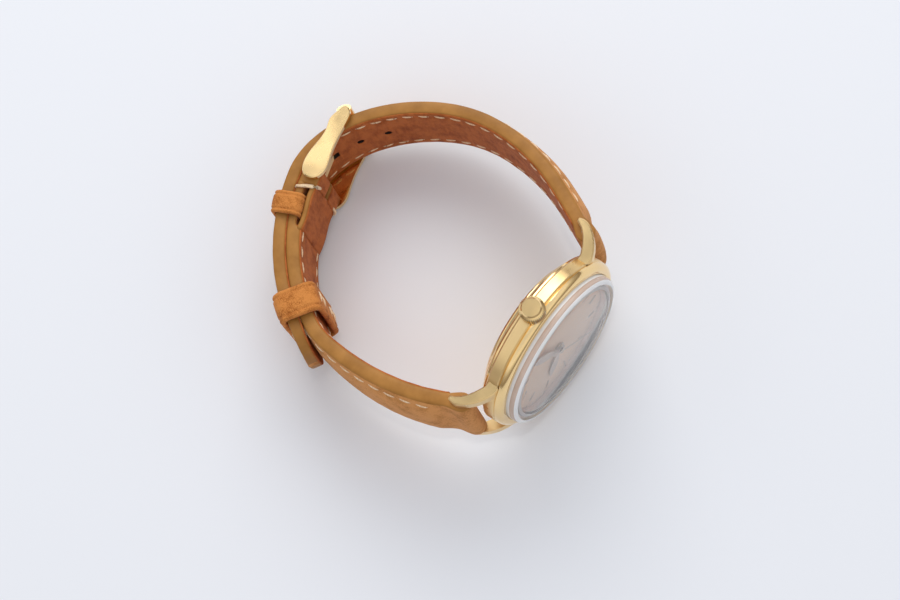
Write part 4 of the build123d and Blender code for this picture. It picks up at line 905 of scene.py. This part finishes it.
def clear_crystal():
    """The domed crystal, turned about the dial's axis.

    Its rim, foot and inner wall are milky white, painted highlights for the white lines, and its outer wall is
    rose, a painted refraction of the dial.
    """
    sides = 192
    foot, foot_line, wall_top, rim_top, crown_top = 0.97, 2.2, 2.75, 3.55, 4.6
    out_r, rim_r, in_r, hollow_r = 15.98, 15.0, 14.23, 13.6
    hollow_edge, hollow_top = 2.45, 3.45
    outside = [(out_r, foot), (out_r, foot_line)]
    for step in range(9):
        angle = math.pi / 2 * step / 8
        across = rim_r + (out_r - rim_r) * math.cos(angle)
        outside.append((across, wall_top + (rim_top - wall_top) * math.sin(angle)))
    rim_count = len(outside) - 1
    for step in range(1, 18):
        share = 1 - step / 18
        outside.append((rim_r * share, crown_top - (crown_top - rim_top) * share**2))
    inside = []
    for step in range(1, 17):
        share = step / 16
        inside.append((hollow_r * share, hollow_top - (hollow_top - hollow_edge) * share**2))
    inside += [(in_r, hollow_edge - 0.35), (in_r, foot)]
    rings = []
    angles = [-2 * math.pi * side / sides for side in range(sides)]
    for radius, height in outside[::-1] + inside[::-1]:
        rings.append([(radius * math.cos(angle), radius * math.sin(angle), height) for angle in angles])
    points, faces = loft(rings, capped=False)
    for first, height in ((0, crown_top), (len(points) - sides, hollow_top)):
        points.append((0, 0, height))
        pole = len(points) - 1
        for side in range(sides):
            fan = (first + side, first + (side + 1) % sides, pole)
            faces.append(fan[::-1] if first == 0 else fan)
    rim_row = len(outside) - 1 - rim_count
    band_row = rim_row + 5
    foot_row = len(outside) - 2
    # these rows take the milky white: painted highlights
    highlight_rows = (*range(rim_row, band_row), foot_row, foot_row + 2, foot_row + 3)
    white = [row * sides + side for row in highlight_rows for side in range(sides)]
    made = piece(
        "crystal_clear", points, faces, ACRYLIC, "case", ("crystal",), "crystal_acrylic", ACRYLIC_PAINTED_HIGHLIGHT, white
    )
    # the outer wall's rows take the rose: a painted refraction of the dial
    made.data.materials.append(ACRYLIC_PAINTED_REFRACTION)
    for number in range(band_row * sides, foot_row * sides):
        made.data.polygons[number].material_index = 2
    made.data.set_sharp_from_angle(angle=math.radians(40))


clear_crystal()


def serrated_ring():
    """The tension ring inside the crystal's foot, finely serrated outside."""
    rings = []
    teeth = 300
    for step in range(teeth * 2):
        turn = 2 * math.pi * step / (teeth * 2)
        way = math.cos(turn), math.sin(turn)
        outside = 14.19 if step % 2 else 14.15
        profile = ((13.72, 0.98), (outside, 0.98), (outside, 1.93), (13.97, 1.93))
        rings.append([(radius * way[0], radius * way[1], height) for radius, height in profile])
    points, faces = loft(rings, closed=True)
    made = piece("tension_ring_serrated", points, faces, ROSE, "case", ("tension_ring",), "steel")
    made.data.shade_flat()


serrated_ring()

# ---------------------------------------------------------------- floor, light and camera
FLOOR_HALF = 1.5
corners = [(x * FLOOR_HALF, y * FLOOR_HALF, 0) for x, y in ((-1, -1), (1, -1), (1, 1), (-1, 1))]
floor_mesh = bpy.data.meshes.new("floor")
floor_mesh.from_pydata(corners, [], [(0, 1, 2, 3)])
floor = bpy.data.objects.new("floor", floor_mesh)
pale = (0.80, 0.815, 0.85, 1)
floor_mesh.materials.append(material("floor_pale", Base_Color=pale, Roughness=0.55, Specular_IOR_Level=0.2))
bpy.context.scene.collection.objects.link(floor)

CAMERA_AT = (499.9, 78.4, 143.6)
LENS = 112
RIGHT = AXES @ Vector((-0.174, -0.584, 0.793)).normalized()
AHEAD = AXES @ Vector((-0.940, -0.140, -0.310)).normalized()
AHEAD = (AHEAD - RIGHT * AHEAD.dot(RIGHT)).normalized()
UP = RIGHT.cross(AHEAD)
camera_data = bpy.data.cameras.new("camera")
camera_data.lens = LENS
camera_data.sensor_width = 36
camera_data.clip_start = 0.01
camera = bpy.data.objects.new("camera", camera_data)
turn = Matrix((RIGHT, UP, -AHEAD)).transposed().to_4x4()
camera.matrix_world = Matrix.Translation(WATCH @ Vector(CAMERA_AT)) @ turn
bpy.context.scene.collection.objects.link(camera)
bpy.context.scene.camera = camera

SKY = (  # (height, colour): the ground, the horizon and overhead
    (0.0, (0.24, 0.20, 0.16)),
    (0.25, (0.48, 0.46, 0.45)),
    (0.5, (1.0, 1.01, 1.03)),
    (1.0, (0.76, 0.79, 0.86)),
)
SKY_STRENGTH = 0.92
world = bpy.data.worlds.new("studio")
world.use_nodes = True
sky = world.node_tree.nodes["Background"]
sky.inputs["Strength"].default_value = SKY_STRENGTH
direction = node(world, "ShaderNodeTexCoord")
split = node(world, "ShaderNodeSeparateXYZ")
link(world, direction.outputs["Generated"], split.inputs["Vector"])
link(world, ramp(world, split.outputs["Z"], *SKY), sky.inputs["Color"])
bpy.context.scene.world = world


def soft_light(name, right, up, height, size, power, colour):
    """An area light over the watch, placed along the picture's right and up, and facing it."""
    data = bpy.data.lights.new(name, "AREA")
    data.size = size
    data.energy = power
    data.color = colour
    made = bpy.data.objects.new(name, data)
    place_here = RIGHT * right + UP * up
    made.location = Vector((place_here.x, place_here.y, height))
    made.rotation_euler = (-made.location).to_track_quat("-Z", "Y").to_euler()
    bpy.context.scene.collection.objects.link(made)


def glow(spot, height, wide, power, colour):
    """A soft round glow on the floor under a spot in the watch's axes, like the gleam thrown by gold."""
    data = bpy.data.lights.new("gleam", "SPOT")
    data.energy = power
    data.color = colour
    data.spot_size = 2 * math.atan(wide / 2 / height)
    data.spot_blend = 1.0
    data.shadow_soft_size = 0.03
    made = bpy.data.objects.new("gleam", data)
    target = WATCH @ Vector(spot)
    made.location = Vector((target.x, target.y, height))
    bpy.context.scene.collection.objects.link(made)


soft_light("window", -0.05, 0.75, 0.6, 0.75, 4.8, (1.0, 0.99, 0.97))
glow((-18.0, 2.0, -16.0), 0.6, 0.045, 5.0, (1.0, 0.95, 0.88))
bpy.context.scene.view_settings.view_transform = "Standard"
